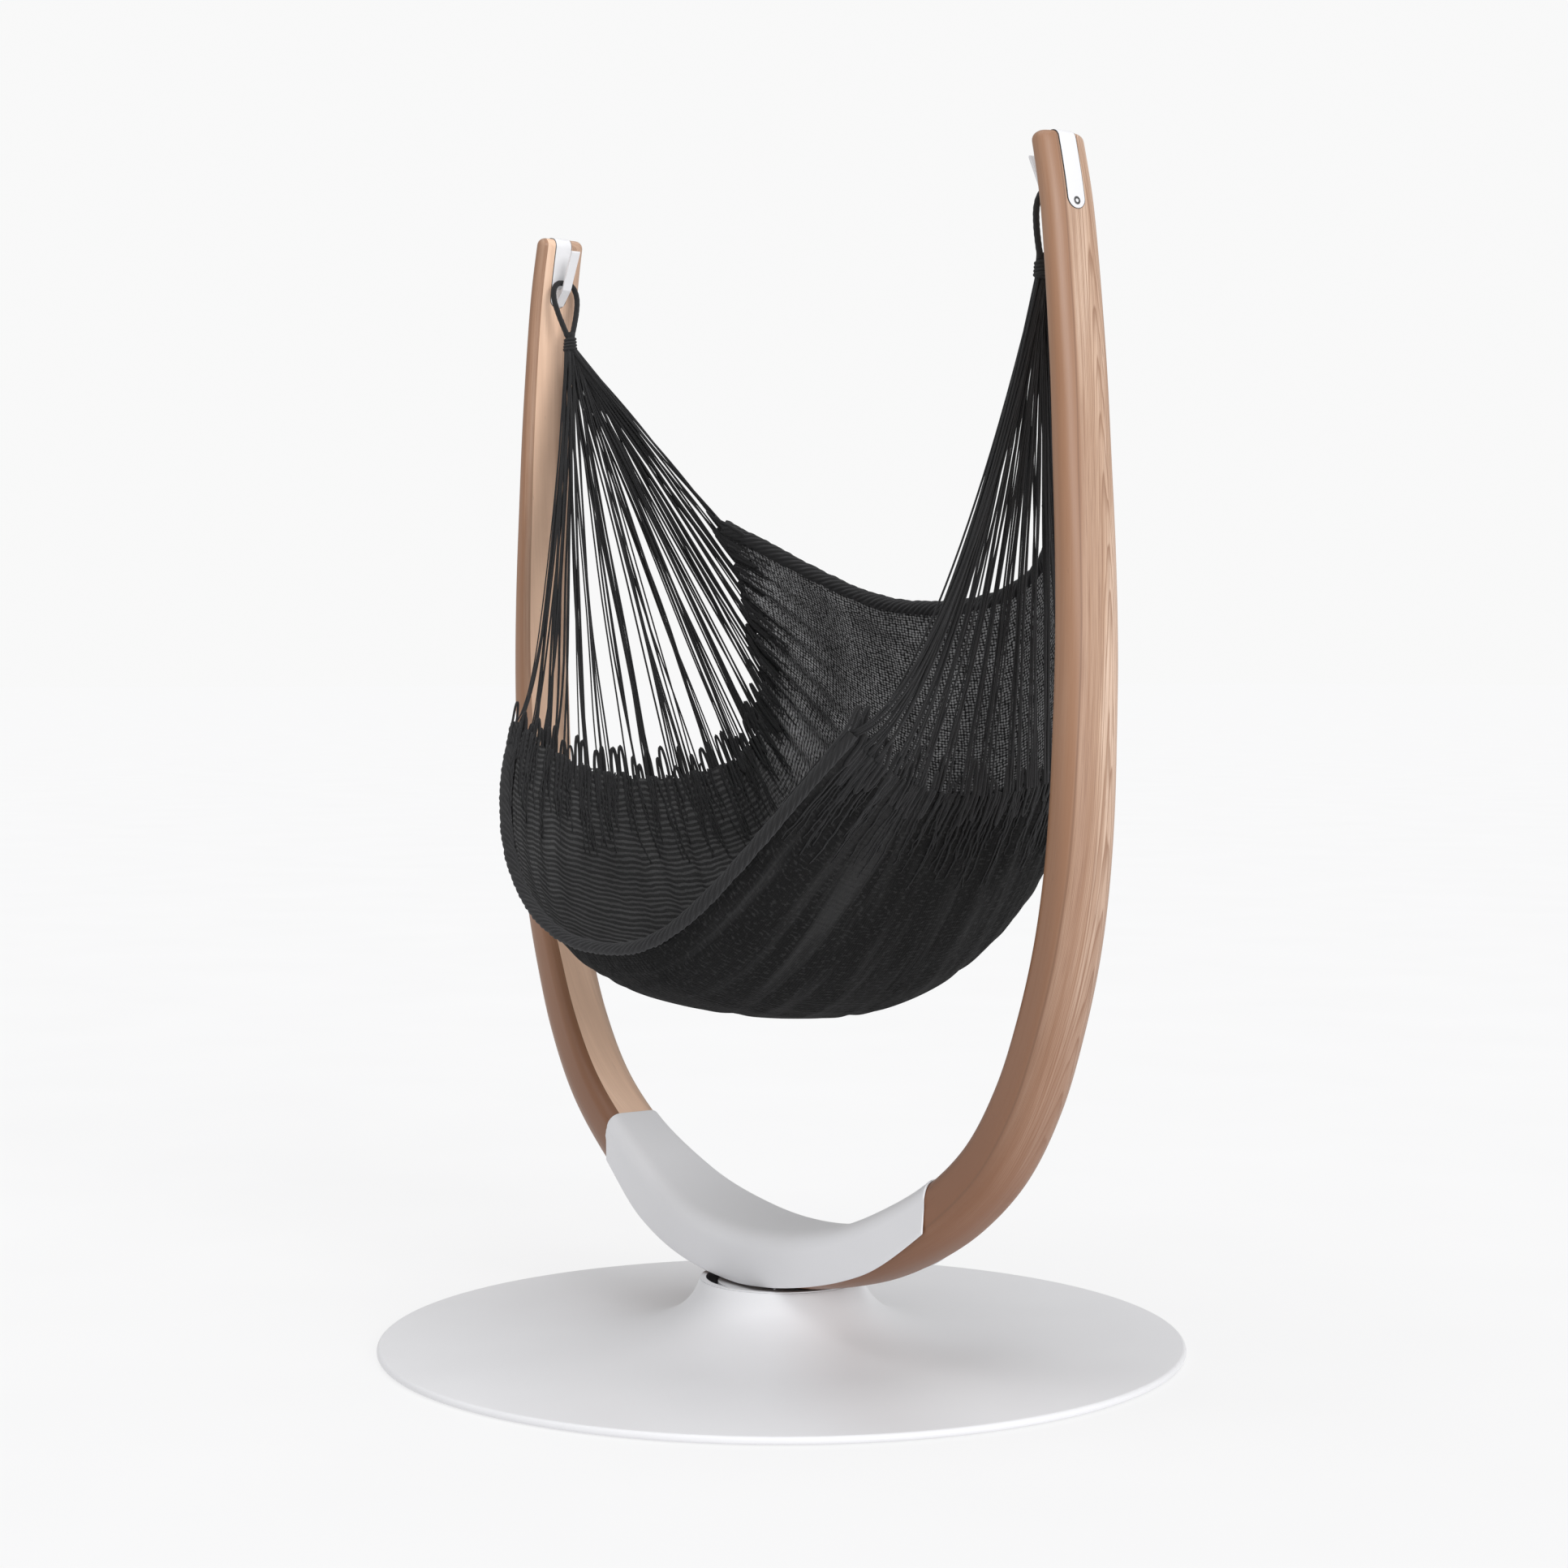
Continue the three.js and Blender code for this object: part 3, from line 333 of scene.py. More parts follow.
def place(piece, body, slot, *nodes):
    """Puts a finished piece on its body, for the CAD nodes that it stands for."""
    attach(piece, body)
    if nodes:
        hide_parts(*nodes)
    return piece


# ---------- material helpers ----------

class Shader:
    """A node material around one Principled shader."""

    def __init__(self, name, roughness, metallic=0.0, **sockets):
        self.material = bpy.data.materials.new(name)
        self.material.use_nodes = True
        self.tree = self.material.node_tree
        self.bsdf = self.tree.nodes["Principled BSDF"]
        self.bsdf.inputs["Roughness"].default_value = roughness
        self.bsdf.inputs["Metallic"].default_value = metallic
        for socket, value in sockets.items():
            self.bsdf.inputs[socket.replace("_", " ")].default_value = value

    def node(self, kind, **values):
        made = self.tree.nodes.new(kind)
        for key, value in values.items():
            if key in made.inputs:
                made.inputs[key].default_value = value
            else:
                setattr(made, key, value)
        return made

    def link(self, source, target):
        self.tree.links.new(source, target)
        return source

    def coordinates(self, scale, uv=True):
        """UV or object coordinates, scaled, as an output socket."""
        source = self.node("ShaderNodeTexCoord")
        mapping = self.node("ShaderNodeMapping")
        mapping.inputs["Scale"].default_value = scale
        self.link(source.outputs["UV" if uv else "Object"], mapping.inputs["Vector"])
        return mapping.outputs["Vector"]

    def part(self, vector, axis):
        """One coordinate of a vector."""
        split = self.node("ShaderNodeSeparateXYZ")
        self.link(vector, split.inputs["Vector"])
        return split.outputs[axis]

    def noise(self, vector, scale, detail=3.0, rough=0.5, distortion=0.0):
        made = self.node("ShaderNodeTexNoise", Scale=scale, Detail=detail, Roughness=rough,
                         Distortion=distortion)
        self.link(vector, made.inputs["Vector"])
        return made.outputs["Fac"]

    def wave(self, vector, scale, distortion=0.0, detail=2.0, axis="X", kind="SIN"):
        made = self.node("ShaderNodeTexWave", Scale=scale, Distortion=distortion, Detail=detail)
        made.bands_direction = axis
        made.wave_profile = kind
        self.link(vector, made.inputs["Vector"])
        return made.outputs["Fac"]

    def ramp(self, value, stops):
        """Colour ramp from (place, colour) stops. A colour is (r, g, b) in linear light."""
        made = self.node("ShaderNodeValToRGB")
        ramp = made.color_ramp
        while len(ramp.elements) < len(stops):
            ramp.elements.new(0.5)
        for element, (position, colour) in zip(ramp.elements, stops):
            element.position = position
            element.color = (*colour, 1)
        self.link(value, made.inputs["Fac"])
        return made.outputs["Color"]

    def math(self, operation, a, b=0):
        made = self.node("ShaderNodeMath", operation=operation)
        for socket, value in zip(made.inputs, (a, b)):
            if isinstance(value, (int, float)):
                socket.default_value = value
            else:
                self.link(value, socket)
        return made.outputs["Value"]

    def mix(self, share, a, b, blend="MIX"):
        made = self.node("ShaderNodeMix", data_type="RGBA", blend_type=blend)
        for socket, value in ((made.inputs[0], share), (made.inputs[6], a), (made.inputs[7], b)):
            if isinstance(value, (int, float)):
                socket.default_value = value
            elif isinstance(value, tuple):
                socket.default_value = (*value, 1)
            else:
                self.link(value, socket)
        return made.outputs[2]

    def colour(self, value):
        self.link(value, self.bsdf.inputs["Base Color"])

    def roughness(self, value, low, high):
        made = self.node("ShaderNodeMapRange")
        made.inputs["To Min"].default_value = low
        made.inputs["To Max"].default_value = high
        self.link(value, made.inputs["Value"])
        self.link(made.outputs["Result"], self.bsdf.inputs["Roughness"])

    def bump(self, height, distance, strength=1.0, below=None):
        made = self.node("ShaderNodeBump", Strength=strength, Distance=distance)
        self.link(height, made.inputs["Height"])
        if below is not None:
            self.link(below, made.inputs["Normal"])
        self.link(made.outputs["Normal"], self.bsdf.inputs["Normal"])
        return made.outputs["Normal"]


def grey(value):
    return (value, value, value * 1.02)


# ---------- materials ----------

def paint_material():
    shade = Shader("white_paint", 0.42, Coat_Weight=0.15, Coat_Roughness=0.3)
    space = shade.coordinates((1, 1, 1), uv=False)
    broad = shade.noise(space, 3.0, 2.0)
    fine = shade.noise(space, 900.0, 2.0)
    shade.colour(shade.ramp(broad, [(0.3, (0.715, 0.715, 0.735)), (0.7, (0.75, 0.75, 0.77))]))
    shade.roughness(fine, 0.36, 0.5)
    shade.bump(fine, 0.00012, 0.35)
    return shade.material


def wood_arches(shade, along, around):
    """Growth lines of the crown: nested arches one behind the other along the arm."""
    off = shade.math("DIVIDE", shade.math("SUBTRACT", around, 0.44), 0.045)
    bow = shade.math("MULTIPLY", off, off)
    drift = shade.noise(shade.coordinates((2.2, 30.0, 1)), 1.0, 3.0, 0.5)
    phase = shade.math("ADD", shade.math("MULTIPLY", along, 11.0), bow)
    phase = shade.math("ADD", phase, shade.math("MULTIPLY", drift, 5.0))
    line = shade.ramp(shade.math("FRACT", phase), [
        (0.0, grey(0.0)), (0.55, grey(0.08)), (0.9, grey(0.85)), (1.0, grey(0.0)),
    ])
    crown = shade.ramp(around, [(0.17, grey(0)), (0.26, grey(1)), (0.6, grey(1)), (0.7, grey(0.25))])
    return shade.math("MULTIPLY", line, crown)


def wood_material():
    """Oiled hardwood: fine grain, arched growth lines on the crown, a front side darker and browner as
    painted shade, a painted shade line where the front side meets the crown, bends darker and browner partly
    from their tone and partly as painted shadow, and painted light on the inner face.
    """
    shade = Shader("bent_wood", 0.45, Coat_Weight=0.1, Coat_Roughness=0.3)
    run = shade.math("ABSOLUTE", shade.part(shade.coordinates((1, 1, 1)), "X"))
    along = shade.math("SUBTRACT", run, ARM_GRAIN_START)
    around = shade.part(shade.node("ShaderNodeUVMap", uv_map="Around").outputs["UV"], "Y")
    cloud = shade.noise(shade.coordinates((1.7, 22.0, 1)), 1.0, 4.0, 0.6, 0.4)
    fibre = shade.noise(shade.coordinates((8.0, 520.0, 1)), 1.0, 5.0, 0.65)
    streak = shade.noise(shade.coordinates((1.9, 120.0, 1)), 1.0, 4.0, 0.6)
    fleck = shade.noise(shade.coordinates((22.0, 330.0, 1)), 1.0, 2.0, 0.5)
    base = shade.ramp(cloud, [
        (0.32, (0.40, 0.245, 0.165)), (0.5, (0.54, 0.365, 0.262)), (0.68, (0.74, 0.56, 0.44)),
    ])
    arched = shade.mix(wood_arches(shade, along, around), base, (0.27, 0.145, 0.085))
    streaked = shade.mix(shade.ramp(streak, [(0.47, grey(0)), (0.62, grey(0.5))]), arched, (0.31, 0.17, 0.10))
    pored = shade.mix(shade.ramp(fibre, [(0.36, grey(0.55)), (0.5, grey(0))]), streaked, (0.22, 0.115, 0.07))
    shifted = shade.math("SUBTRACT", around, shade.math("MULTIPLY", along, 0.035))
    # painted shade: the front side of the arm darker and browner, as on the side turned away from the light
    side = shade.ramp(shade.math("ADD", shifted, shade.math("MULTIPLY", streak, 0.04)), [
        (0.0, grey(0.6)), (0.04, grey(0.88)), (0.2, grey(0.88)), (0.235, grey(0)),
    ])
    front_shaded = shade.mix(side, pored, (0.27, 0.13, 0.066))
    # darker and browner towards the bottom of each arm, off the inner face: partly the wood's own tone,
    # partly painted shadow under the hammock
    bend = shade.ramp(shade.math("MULTIPLY", along, 0.5), [(0.25, grey(0.92)), (0.55, grey(0))])
    outer = shade.ramp(around, [(0.72, grey(1)), (0.8, grey(0))])
    bend_shade_and_tone = shade.mix(shade.math("MULTIPLY", bend, outer), front_shaded, (0.21, 0.09, 0.043))
    # painted light: the inner face of the arm mixed paler, as where the key light falls on it
    inner = shade.ramp(around, [(0.76, grey(0)), (0.84, grey(0.7))])
    inner_lit = shade.mix(inner, bend_shade_and_tone, (0.88, 0.6, 0.43))
    # painted shade: a thin dark line along the soft crease where the front side meets the crown
    wander = shade.noise(shade.coordinates((1.3, 0, 1)), 1.5, 2.0)
    front_edge_shade_place = shade.math("ADD", shifted, shade.math("MULTIPLY", wander, 0.03))
    front_edge_shade = shade.ramp(front_edge_shade_place, [(0.198, grey(0)), (0.206, grey(0.75)), (0.216, grey(0))])
    lined = shade.mix(front_edge_shade, inner_lit, (0.17, 0.08, 0.042))
    knots = shade.ramp(fleck, [(0.74, grey(0)), (0.78, grey(0.8))])
    shade.colour(shade.mix(knots, lined, (0.09, 0.045, 0.025)))
    shade.roughness(fibre, 0.38, 0.55)
    grain = shade.bump(streak, 0.0004, 0.3)
    shade.bump(fibre, 0.00025, 0.35, grain)
    return shade.material


def metal_material(name, dark, light, rough):
    shade = Shader(name, rough, 0.9)
    space = shade.coordinates((1, 1, 1), uv=False)
    cloud = shade.noise(space, 25.0, 4.0)
    scratch = shade.noise(shade.coordinates((700, 700, 15), uv=False), 1.0, 3.0)
    shade.colour(shade.ramp(cloud, [(0.3, grey(dark)), (0.7, grey(light))]))
    shade.roughness(scratch, rough - 0.08, rough + 0.12)
    shade.bump(scratch, 0.0001, 0.2)
    return shade.material


def rubber_material():
    shade = Shader("rubber", 0.8)
    space = shade.coordinates((1, 1, 1), uv=False)
    speck = shade.noise(space, 420.0, 3.0)
    shade.colour(shade.ramp(speck, [(0.3, grey(0.012)), (0.7, grey(0.03))]))
    shade.roughness(speck, 0.72, 0.9)
    shade.bump(speck, 0.0002, 0.3)
    return shade.material


def cord_material(name, dark, light, turns):
    """Twisted yarn: slanting plies across the cord and loose fibre colour along it."""
    shade = Shader(name, 0.85, Sheen_Weight=0.12, Sheen_Roughness=0.6)
    shade.bsdf.inputs["Sheen Tint"].default_value = (0.6, 0.6, 0.65, 1)
    ply = shade.wave(shade.coordinates((turns, turns * 1.7, 1)), 1.0, 1.2, 1.0, "DIAGONAL")
    drift = shade.noise(shade.coordinates((9, 60, 1)), 1.0, 4.0, 0.6)
    fuzz = shade.noise(shade.coordinates((1, 1, 1), uv=False), 1400.0, 3.0)
    base = shade.ramp(drift, [(0.32, grey(dark)), (0.7, grey(light))])
    shade.colour(shade.mix(shade.math("MULTIPLY", ply, 0.5), base, grey(dark * 0.55)))
    shade.roughness(fuzz, 0.75, 0.95)
    low = shade.bump(ply, 0.0006, 0.6)
    shade.bump(fuzz, 0.0004, 0.5, low)
    return shade.material


def weave_material():
    """Sprang weave: fine slanted meshes, dark ribs across it inside, and a paler open net in the back; the
    inside face is painted paler as painted light, and the outside has painted highlights in streaks along its
    folds.
    """
    shade = Shader("black_weave", 0.95, Specular_IOR_Level=0.15)
    flat = shade.coordinates((1, 1, 1))
    wobble = shade.node("ShaderNodeTexNoise", Scale=14.0, Detail=2.0)
    shade.link(flat, wobble.inputs["Vector"])
    offset = shade.node("ShaderNodeVectorMath", operation="SCALE")
    shade.link(wobble.outputs["Color"], offset.inputs[0])
    offset.inputs["Scale"].default_value = 0.012
    moved = shade.node("ShaderNodeVectorMath", operation="ADD")
    shade.link(flat, moved.inputs[0])
    shade.link(offset.outputs["Vector"], moved.inputs[1])
    cloth = moved.outputs["Vector"]
    grid = shade.node("ShaderNodeMapping")
    grid.inputs["Scale"].default_value = (125, 230, 1)
    shade.link(cloth, grid.inputs["Vector"])
    mesh = shade.node("ShaderNodeTexVoronoi", Scale=1.0, Randomness=0.3)
    shade.link(grid.outputs["Vector"], mesh.inputs["Vector"])
    holes = shade.ramp(mesh.outputs["Distance"], [(0.2, grey(1)), (0.55, grey(0))])
    ribs = shade.ramp(shade.wave(cloth, 30.0, 3.5, 3.0, "X"), [(0.2, grey(0)), (0.6, grey(1))])
    yarn = shade.noise(shade.coordinates((90, 600, 1)), 1.0, 4.0, 0.7)
    dash_noise = shade.noise(shade.coordinates((260, 90, 1)), 1.0, 2.0)
    dash = shade.ramp(dash_noise, [(0.54, grey(0)), (0.66, grey(1))])
    drift = shade.noise(flat, 7.0, 4.0, 0.65)
    share = shade.part(shade.node("ShaderNodeUVMap", uv_map="Share").outputs["UV"], "Y")
    panel = shade.ramp(share, [(0.5, grey(0)), (0.62, grey(1))])
    base = shade.ramp(drift, [(0.3, grey(0.004)), (0.7, grey(0.008))])
    yarned = shade.mix(shade.math("MULTIPLY", yarn, 0.3), base, grey(0.02))
    dashed = shade.mix(shade.math("MULTIPLY", dash, 0.6), yarned, grey(0.034))
    # painted highlight: pale streaks over the outer face along its folds
    fold_highlight = shade.noise(shade.coordinates((1.3, 17.0, 1)), 1.0, 3.0, 0.6, 0.6)
    fold_highlit = shade.mix(shade.ramp(fold_highlight, [(0.48, grey(0)), (0.66, grey(0.7))]), dashed, grey(0.036))
    # painted light: the inside face of the seat made far paler than the outside, as lit from above
    inside_lit = shade.ramp(drift, [(0.3, grey(0.045)), (0.7, grey(0.075))])
    ribbed = shade.mix(shade.math("MULTIPLY", ribs, 0.68), inside_lit, grey(0.009))
    face = shade.node("ShaderNodeAttribute", attribute_name="inner_face")
    body = shade.mix(face.outputs["Fac"], fold_highlit, ribbed)
    net = shade.mix(holes, grey(0.012), shade.ramp(drift, [(0.35, grey(0.2)), (0.65, grey(0.42))]))
    shade.colour(shade.mix(shade.math("MULTIPLY", panel, face.outputs["Fac"]), body, net))
    shade.roughness(yarn, 0.88, 1.0)
    low = shade.bump(ribs, 0.002, 0.35)
    mid = shade.bump(holes, 0.0014, 0.6, low)
    shade.bump(yarn, 0.0008, 0.7, mid)
    return shade.material


PAINT = paint_material()
WOOD = wood_material()
STEEL = metal_material("plain_steel", 0.42, 0.52, 0.38)
ZINC = metal_material("zinc_steel", 0.58, 0.68, 0.3)
RUBBER = rubber_material()
CORD = cord_material("black_cord", 0.004, 0.012, 900)
STRING = cord_material("black_string", 0.0025, 0.01, 1500)
ROLL = cord_material("black_roll", 0.003, 0.011, 420)
SEAM = cord_material("strap_seam", 0.02, 0.05, 40)
SCREW = metal_material("dark_zinc", 0.1, 0.18, 0.45)
WEAVE = weave_material()


def finish_hidden_nodes():
    """Node materials for the CAD nodes that stay. Seal and hub plate are shown in the cover's paint."""
    finishes = {
        STEEL: ["ballast_plate", "swivel_pedestal", "lower_bearing_race", "upper_bearing_race", "spindle",
                "spine_bar"],
        ZINC: ["bearing_ball_ring", "spindle_washer", "spindle_nut", "hook_bolt_left", "hook_bolt_right",
               *[f"pedestal_bolt_{n}" for n in range(1, 5)], *[f"hub_screw_{n}" for n in range(1, 5)],
               *[f"spine_bolt_{n}" for n in range(1, 5)]],
        RUBBER: ["floor_ring"],
        PAINT: ["neck_seal", "hub_plate"],
    }
    for material, names in finishes.items():
        for name in names:
            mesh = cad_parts[name].data
            mesh.materials.clear()
            mesh.materials.append(material)


# ---------- base ----------

def bezier(points, steps):
    a, b, c, d = (np.array(p, float) for p in points)
    t = np.linspace(0, 1, steps + 1)[:, None]
    return ((1 - t) ** 3 * a + 3 * (1 - t) ** 2 * t * b + 3 * (1 - t) * t * t * c + t ** 3 * d).tolist()


def base_dish():
    rim_height = DISH_EDGE_TOP - DISH_RIM_RADIUS
    rim_centre = BASE_RADIUS - DISH_RIM_RADIUS
    outer = bezier([
        (NECK_RADIUS, NECK_TOP), (0.136, 0.05), (0.19, DISH_FLARE_HEIGHT + 0.0005),
        (DISH_FLARE_START, DISH_FLARE_HEIGHT),
    ], 28)
    rim = arc(rim_centre, rim_height, DISH_RIM_RADIUS, 90, -70, 14)
    inner_rim = arc(rim_centre, rim_height, DISH_RIM_RADIUS - DISH_SHEET, -70, 90, 6)
    inner = bezier([
        (NECK_RADIUS - DISH_SHEET, NECK_TOP), (0.136 - DISH_SHEET, 0.047),
        (0.188, DISH_FLARE_HEIGHT - DISH_SHEET), (DISH_FLARE_START, DISH_FLARE_HEIGHT - DISH_SHEET),
    ], 20)[::-1]
    profile = np.array([*outer, *rim, *inner_rim, *inner])
    angles = np.linspace(0, 2 * np.pi, 192, endpoint=False)
    rings = np.stack([
        profile[None, :, 0] * np.cos(angles)[:, None], profile[None, :, 0] * np.sin(angles)[:, None],
        np.broadcast_to(profile[:, 1], (len(angles), len(profile))),
    ], 2)
    run = run_of(profile)
    batch = Batch()
    batch.skin(rings, np.linspace(0, 2 * np.pi * BASE_RADIUS, len(angles) + 1), [*run, run[-1]], True)
    dish = batch.build("dish", PAINT)
    bevel(dish, 0.0006, 2, 40)
    return place(dish, "base", "white_paint", "base_dish")


# ---------- arms ----------

def arm_table(samples=4000):
    """Dense points, unit tangents and run of the uniform Catmull-Rom line through both arms."""
    line = [(-x, z) for x, z in ARM_LINE[:0:-1]] + list(ARM_LINE)
    knots = np.array(line, float)
    last = len(knots) - 1
    places = np.linspace(0, last, samples + 1)
    step = np.minimum(places.astype(int), last - 1)
    t = (places - step)[:, None]
    p0, p1 = knots[np.maximum(step - 1, 0)], knots[step]
    p2, p3 = knots[step + 1], knots[np.minimum(step + 2, last)]
    m1, m2 = (p2 - p0) / 2, (p3 - p1) / 2
    points = (
        (2 * t ** 3 - 3 * t ** 2 + 1) * p1 + (t ** 3 - 2 * t ** 2 + t) * m1
        + (3 * t ** 2 - 2 * t ** 3) * p2 + (t ** 3 - t ** 2) * m2
    )
    tangents = np.gradient(points, axis=0)
    tangents /= np.linalg.norm(tangents, axis=1)[:, None]
    run = run_of(points)
    return points, tangents, run - run[-1] / 2


ARM_POINTS, ARM_TANGENTS, ARM_RUN = arm_table()
ARM_LENGTH = ARM_RUN[-1]


def arm_frame(length):
    """Point on the inner face, direction along the arm and direction out of the U."""
    x, z, tx, tz = (
        np.interp(length, ARM_RUN, column)
        for column in (ARM_POINTS[:, 0], ARM_POINTS[:, 1], ARM_TANGENTS[:, 0], ARM_TANGENTS[:, 1])
    )
    along = np.array([tx, 0, tz]) / math.hypot(tx, tz)
    return np.array([x, 0, z]), along, np.array([along[2], 0, -along[0]])


def table_value(table, where, column):
    """Smooth value from a table of (place, value, ...) rows."""
    last = len(table) - 1

    def slope(i):
        low, high = table[max(i - 1, 0)], table[min(i + 1, last)]
        return (high[column] - low[column]) / (high[0] - low[0])

    i = 0
    while i < last - 1 and where > table[i + 1][0]:
        i += 1
    span = table[i + 1][0] - table[i][0]
    t = min(max((where - table[i][0]) / span, 0), 1)
    first = table[i][column] * (1 + 2 * t) * (1 - t) ** 2 + slope(i) * span * t * (1 - t) ** 2
    second = table[i + 1][column] * t * t * (3 - 2 * t) + slope(i + 1) * span * t * t * (t - 1)
    return first + second


def arm_size(length, column):
    return table_value(ARM_SIZES, abs(length) / ARM_LENGTH, column)


def arm_section(length, shrink):
    """Outline of the arm's section as (outward, y) points."""
    half = arm_size(length, 1) / 2 - shrink
    far = arm_size(length, 2) - shrink
    edge = max(arm_size(length, 3) - shrink, 0.002)
    crown = (far - shrink) * ARM_CROWN_SHARE
    points = arc(shrink + edge, edge - half, edge, 180, 270, 9)
    for angle in np.linspace(-np.pi / 2, np.pi / 2, 45):
        c = abs(math.cos(angle)) ** (2 / ARM_CROWN_POWER)
        s = math.copysign(abs(math.sin(angle)) ** (2 / ARM_CROWN_POWER), math.sin(angle))
        points.append((far - crown + crown * c, half * s))
    return np.array([*points, *arc(shrink + edge, half - edge, edge, 90, 180, 9)])


def place_section(outline, length):
    inner, _, out = arm_frame(length)
    points = inner[None, :] + out[None, :] * outline[:, :1]
    points[:, 1] = outline[:, 1]
    return points


def arm(name, side):
    straight = ARM_LENGTH - ARM_TIP_ROUND
    lengths = [ARM_BUTT_GAP, *np.linspace(0.01, straight, 230)]
    lengths += [ARM_LENGTH - ARM_TIP_ROUND * (1 - math.sin(math.radians(a))) for a in range(12, 91, 6)]
    rings, around = [], []
    for length in lengths:
        past = max(length - straight, 0)
        shrink = ARM_TIP_ROUND - math.sqrt(max(ARM_TIP_ROUND ** 2 - past ** 2, 0))
        outline = arm_section(length, min(shrink, ARM_TIP_ROUND * 0.94))
        rings.append(place_section(outline, side * length))
        around.append(run_of(np.vstack([outline, outline[:1]])))
    batch = Batch()
    batch.skin(rings, side * (ARM_GRAIN_START + np.array(lengths)), np.array(around))
    piece = batch.build(f"wood_{name}", WOOD)
    uv = uv_values(piece)
    uv[:, 1] /= np.interp(np.abs(uv[:, 0]) - ARM_GRAIN_START, lengths, [row[-1] for row in around])
    add_uv(piece, "Around", uv)
    return place(piece, "frame", "bent_wood", f"arm_{name}")


# ---------- saddle cover ----------

def saddle_line(length, offset):
    """Line over the inner face and down both sides, as (outward, y, share of the way to the skirt's edge)."""
    half = arm_size(length, 1) / 2 + offset
    taper = smoothstep(abs(length), SADDLE_TAPER_START, SADDLE_REACH)
    skirt = arm_size(length, 2) * (SADDLE_SKIRT_SHARE - SADDLE_SKIRT_TAPER * taper)
    edge = arm_size(length, 3) + offset
    points = [(skirt + (edge - skirt) * n / 6, -half, 1 - 0.1 * n) for n in range(6)]
    corner = arc(edge - offset, edge - half, edge, 270, 180, 12)
    points += [(n, y, 0.4 * (1 - i / 12)) for i, (n, y) in enumerate(corner)]
    return np.array([*points, *[(n, -y, share) for n, y, share in points[::-1]]])


def saddle_reach(share):
    drop = 0.3 * (share / 0.4) ** 3 if share < 0.4 else 0.3 + 0.7 * (share - 0.4) / 0.6
    return SADDLE_REACH - (SADDLE_REACH - SADDLE_SKIRT_REACH) * drop


def saddle_cover():
    """Sheet-metal cover, skinned from one end to the other over its outer and its inner face."""
    faces = ((GAP + SADDLE_SHEET, 1), (GAP, -1))
    places = np.linspace(-SADDLE_REACH, SADDLE_REACH, 121)
    rings = []
    for where in places:
        ring = []
        for offset, order in faces:
            for index, share in enumerate(saddle_line(where, offset)[::order, 2]):
                length = where * saddle_reach(share) / SADDLE_REACH
                outward, y = saddle_line(length, offset)[::order][index, :2]
                inner, _, out = arm_frame(length)
                x, _, z = inner + out * outward
                ring.append((x, y, z))
        rings.append(ring)
    batch = Batch()
    batch.skin(rings, places, np.linspace(0, 0.6, len(rings[0]) + 1))
    piece = batch.build("saddle", PAINT)
    bevel(piece, 0.0013)
    return place(piece, "frame", "white_paint", "saddle_cover")


# ---------- straps and hooks ----------

def strap_line():
    """Line of the strap over a tip, from its outer end to its inner end, with outward normals."""
    points, normals = [], []
    straight = ARM_LENGTH - ARM_TIP_ROUND
    for length in np.linspace(straight - STRAP_OUTER_LENGTH, straight, 30):
        inner, _, out = arm_frame(length)
        points.append(inner + out * arm_size(length, 2))
        normals.append(out)
    inner, along, out = arm_frame(straight)
    thickness = arm_size(straight, 2)
    for depth, start in ((thickness - ARM_TIP_ROUND, 0), (ARM_TIP_ROUND, 90)):
        for angle in np.radians(np.linspace(start, start + 90, 10)):
            normal = out * math.cos(angle) + along * math.sin(angle)
            points.append(inner + out * depth + normal * ARM_TIP_ROUND)
            normals.append(normal)
    for length in np.linspace(straight, straight - STRAP_INNER_LENGTH, 30)[1:]:
        inner, _, out = arm_frame(length)
        points.append(inner)
        normals.append(-out)
    return np.array(points), np.array(normals)


def strap(name, side):
    points, normals = strap_line()
    keep = np.concatenate([[True], np.linalg.norm(np.diff(points, axis=0), axis=1) > 1e-6])
    points, normals = points[keep], normals[keep]
    run = run_of(points)
    total, half = run[-1], STRAP_WIDTH / 2
    ends = half * (1 - np.cos(np.radians(np.linspace(6, 90, 14))))
    places = [*ends, *np.linspace(half, total - half, 90)[1:-1], *(total - ends[::-1])]
    low, high = -STRAP_SUNK, STRAP_THICK - STRAP_SUNK
    rings, left, right = [], [], []
    for where in places:
        point = np.array([np.interp(where, run, points[:, n]) for n in range(3)])
        normal = np.array([np.interp(where, run, normals[:, n]) for n in range(3)])
        end = min(where, total - where, half)
        reach = math.sqrt(max(half ** 2 - (half - end) ** 2, 1e-8))
        rim = min(STRAP_EDGE, reach * 0.45)
        profile = [(low, -reach)]
        profile += [(high - rim + rim * math.sin(a), -reach + rim - rim * math.cos(a))
                    for a in np.linspace(0, np.pi / 2, 5)]
        profile += [(h, -y) for h, y in profile[::-1]]
        ring = [point + normal * h + np.array([0, y, 0]) for h, y in profile]
        rings.append([(side * p[0], p[1], p[2]) for p in ring])
        left.append((side * point[0], -reach - SEAM_OUT, point[2]))
        right.append((side * point[0], reach + SEAM_OUT, point[2]))
    batch = Batch()
    batch.skin(rings, places, np.linspace(0, 0.06, len(rings[0]) + 1))
    strap_seam(name, left + right[::-1])
    return place(batch.build(f"strap_{name}", PAINT), "frame", "white_paint", f"tip_strap_{name}")


def strap_seam(name, edges):
    """Thin shadow line where the strap lies in its groove."""
    batch = Batch()
    batch.tube(np.array(edges), SEAM_RADIUS, 6, closed=True)
    return place(batch.build(f"strap_seam_{name}", SEAM), "frame", "bent_wood")


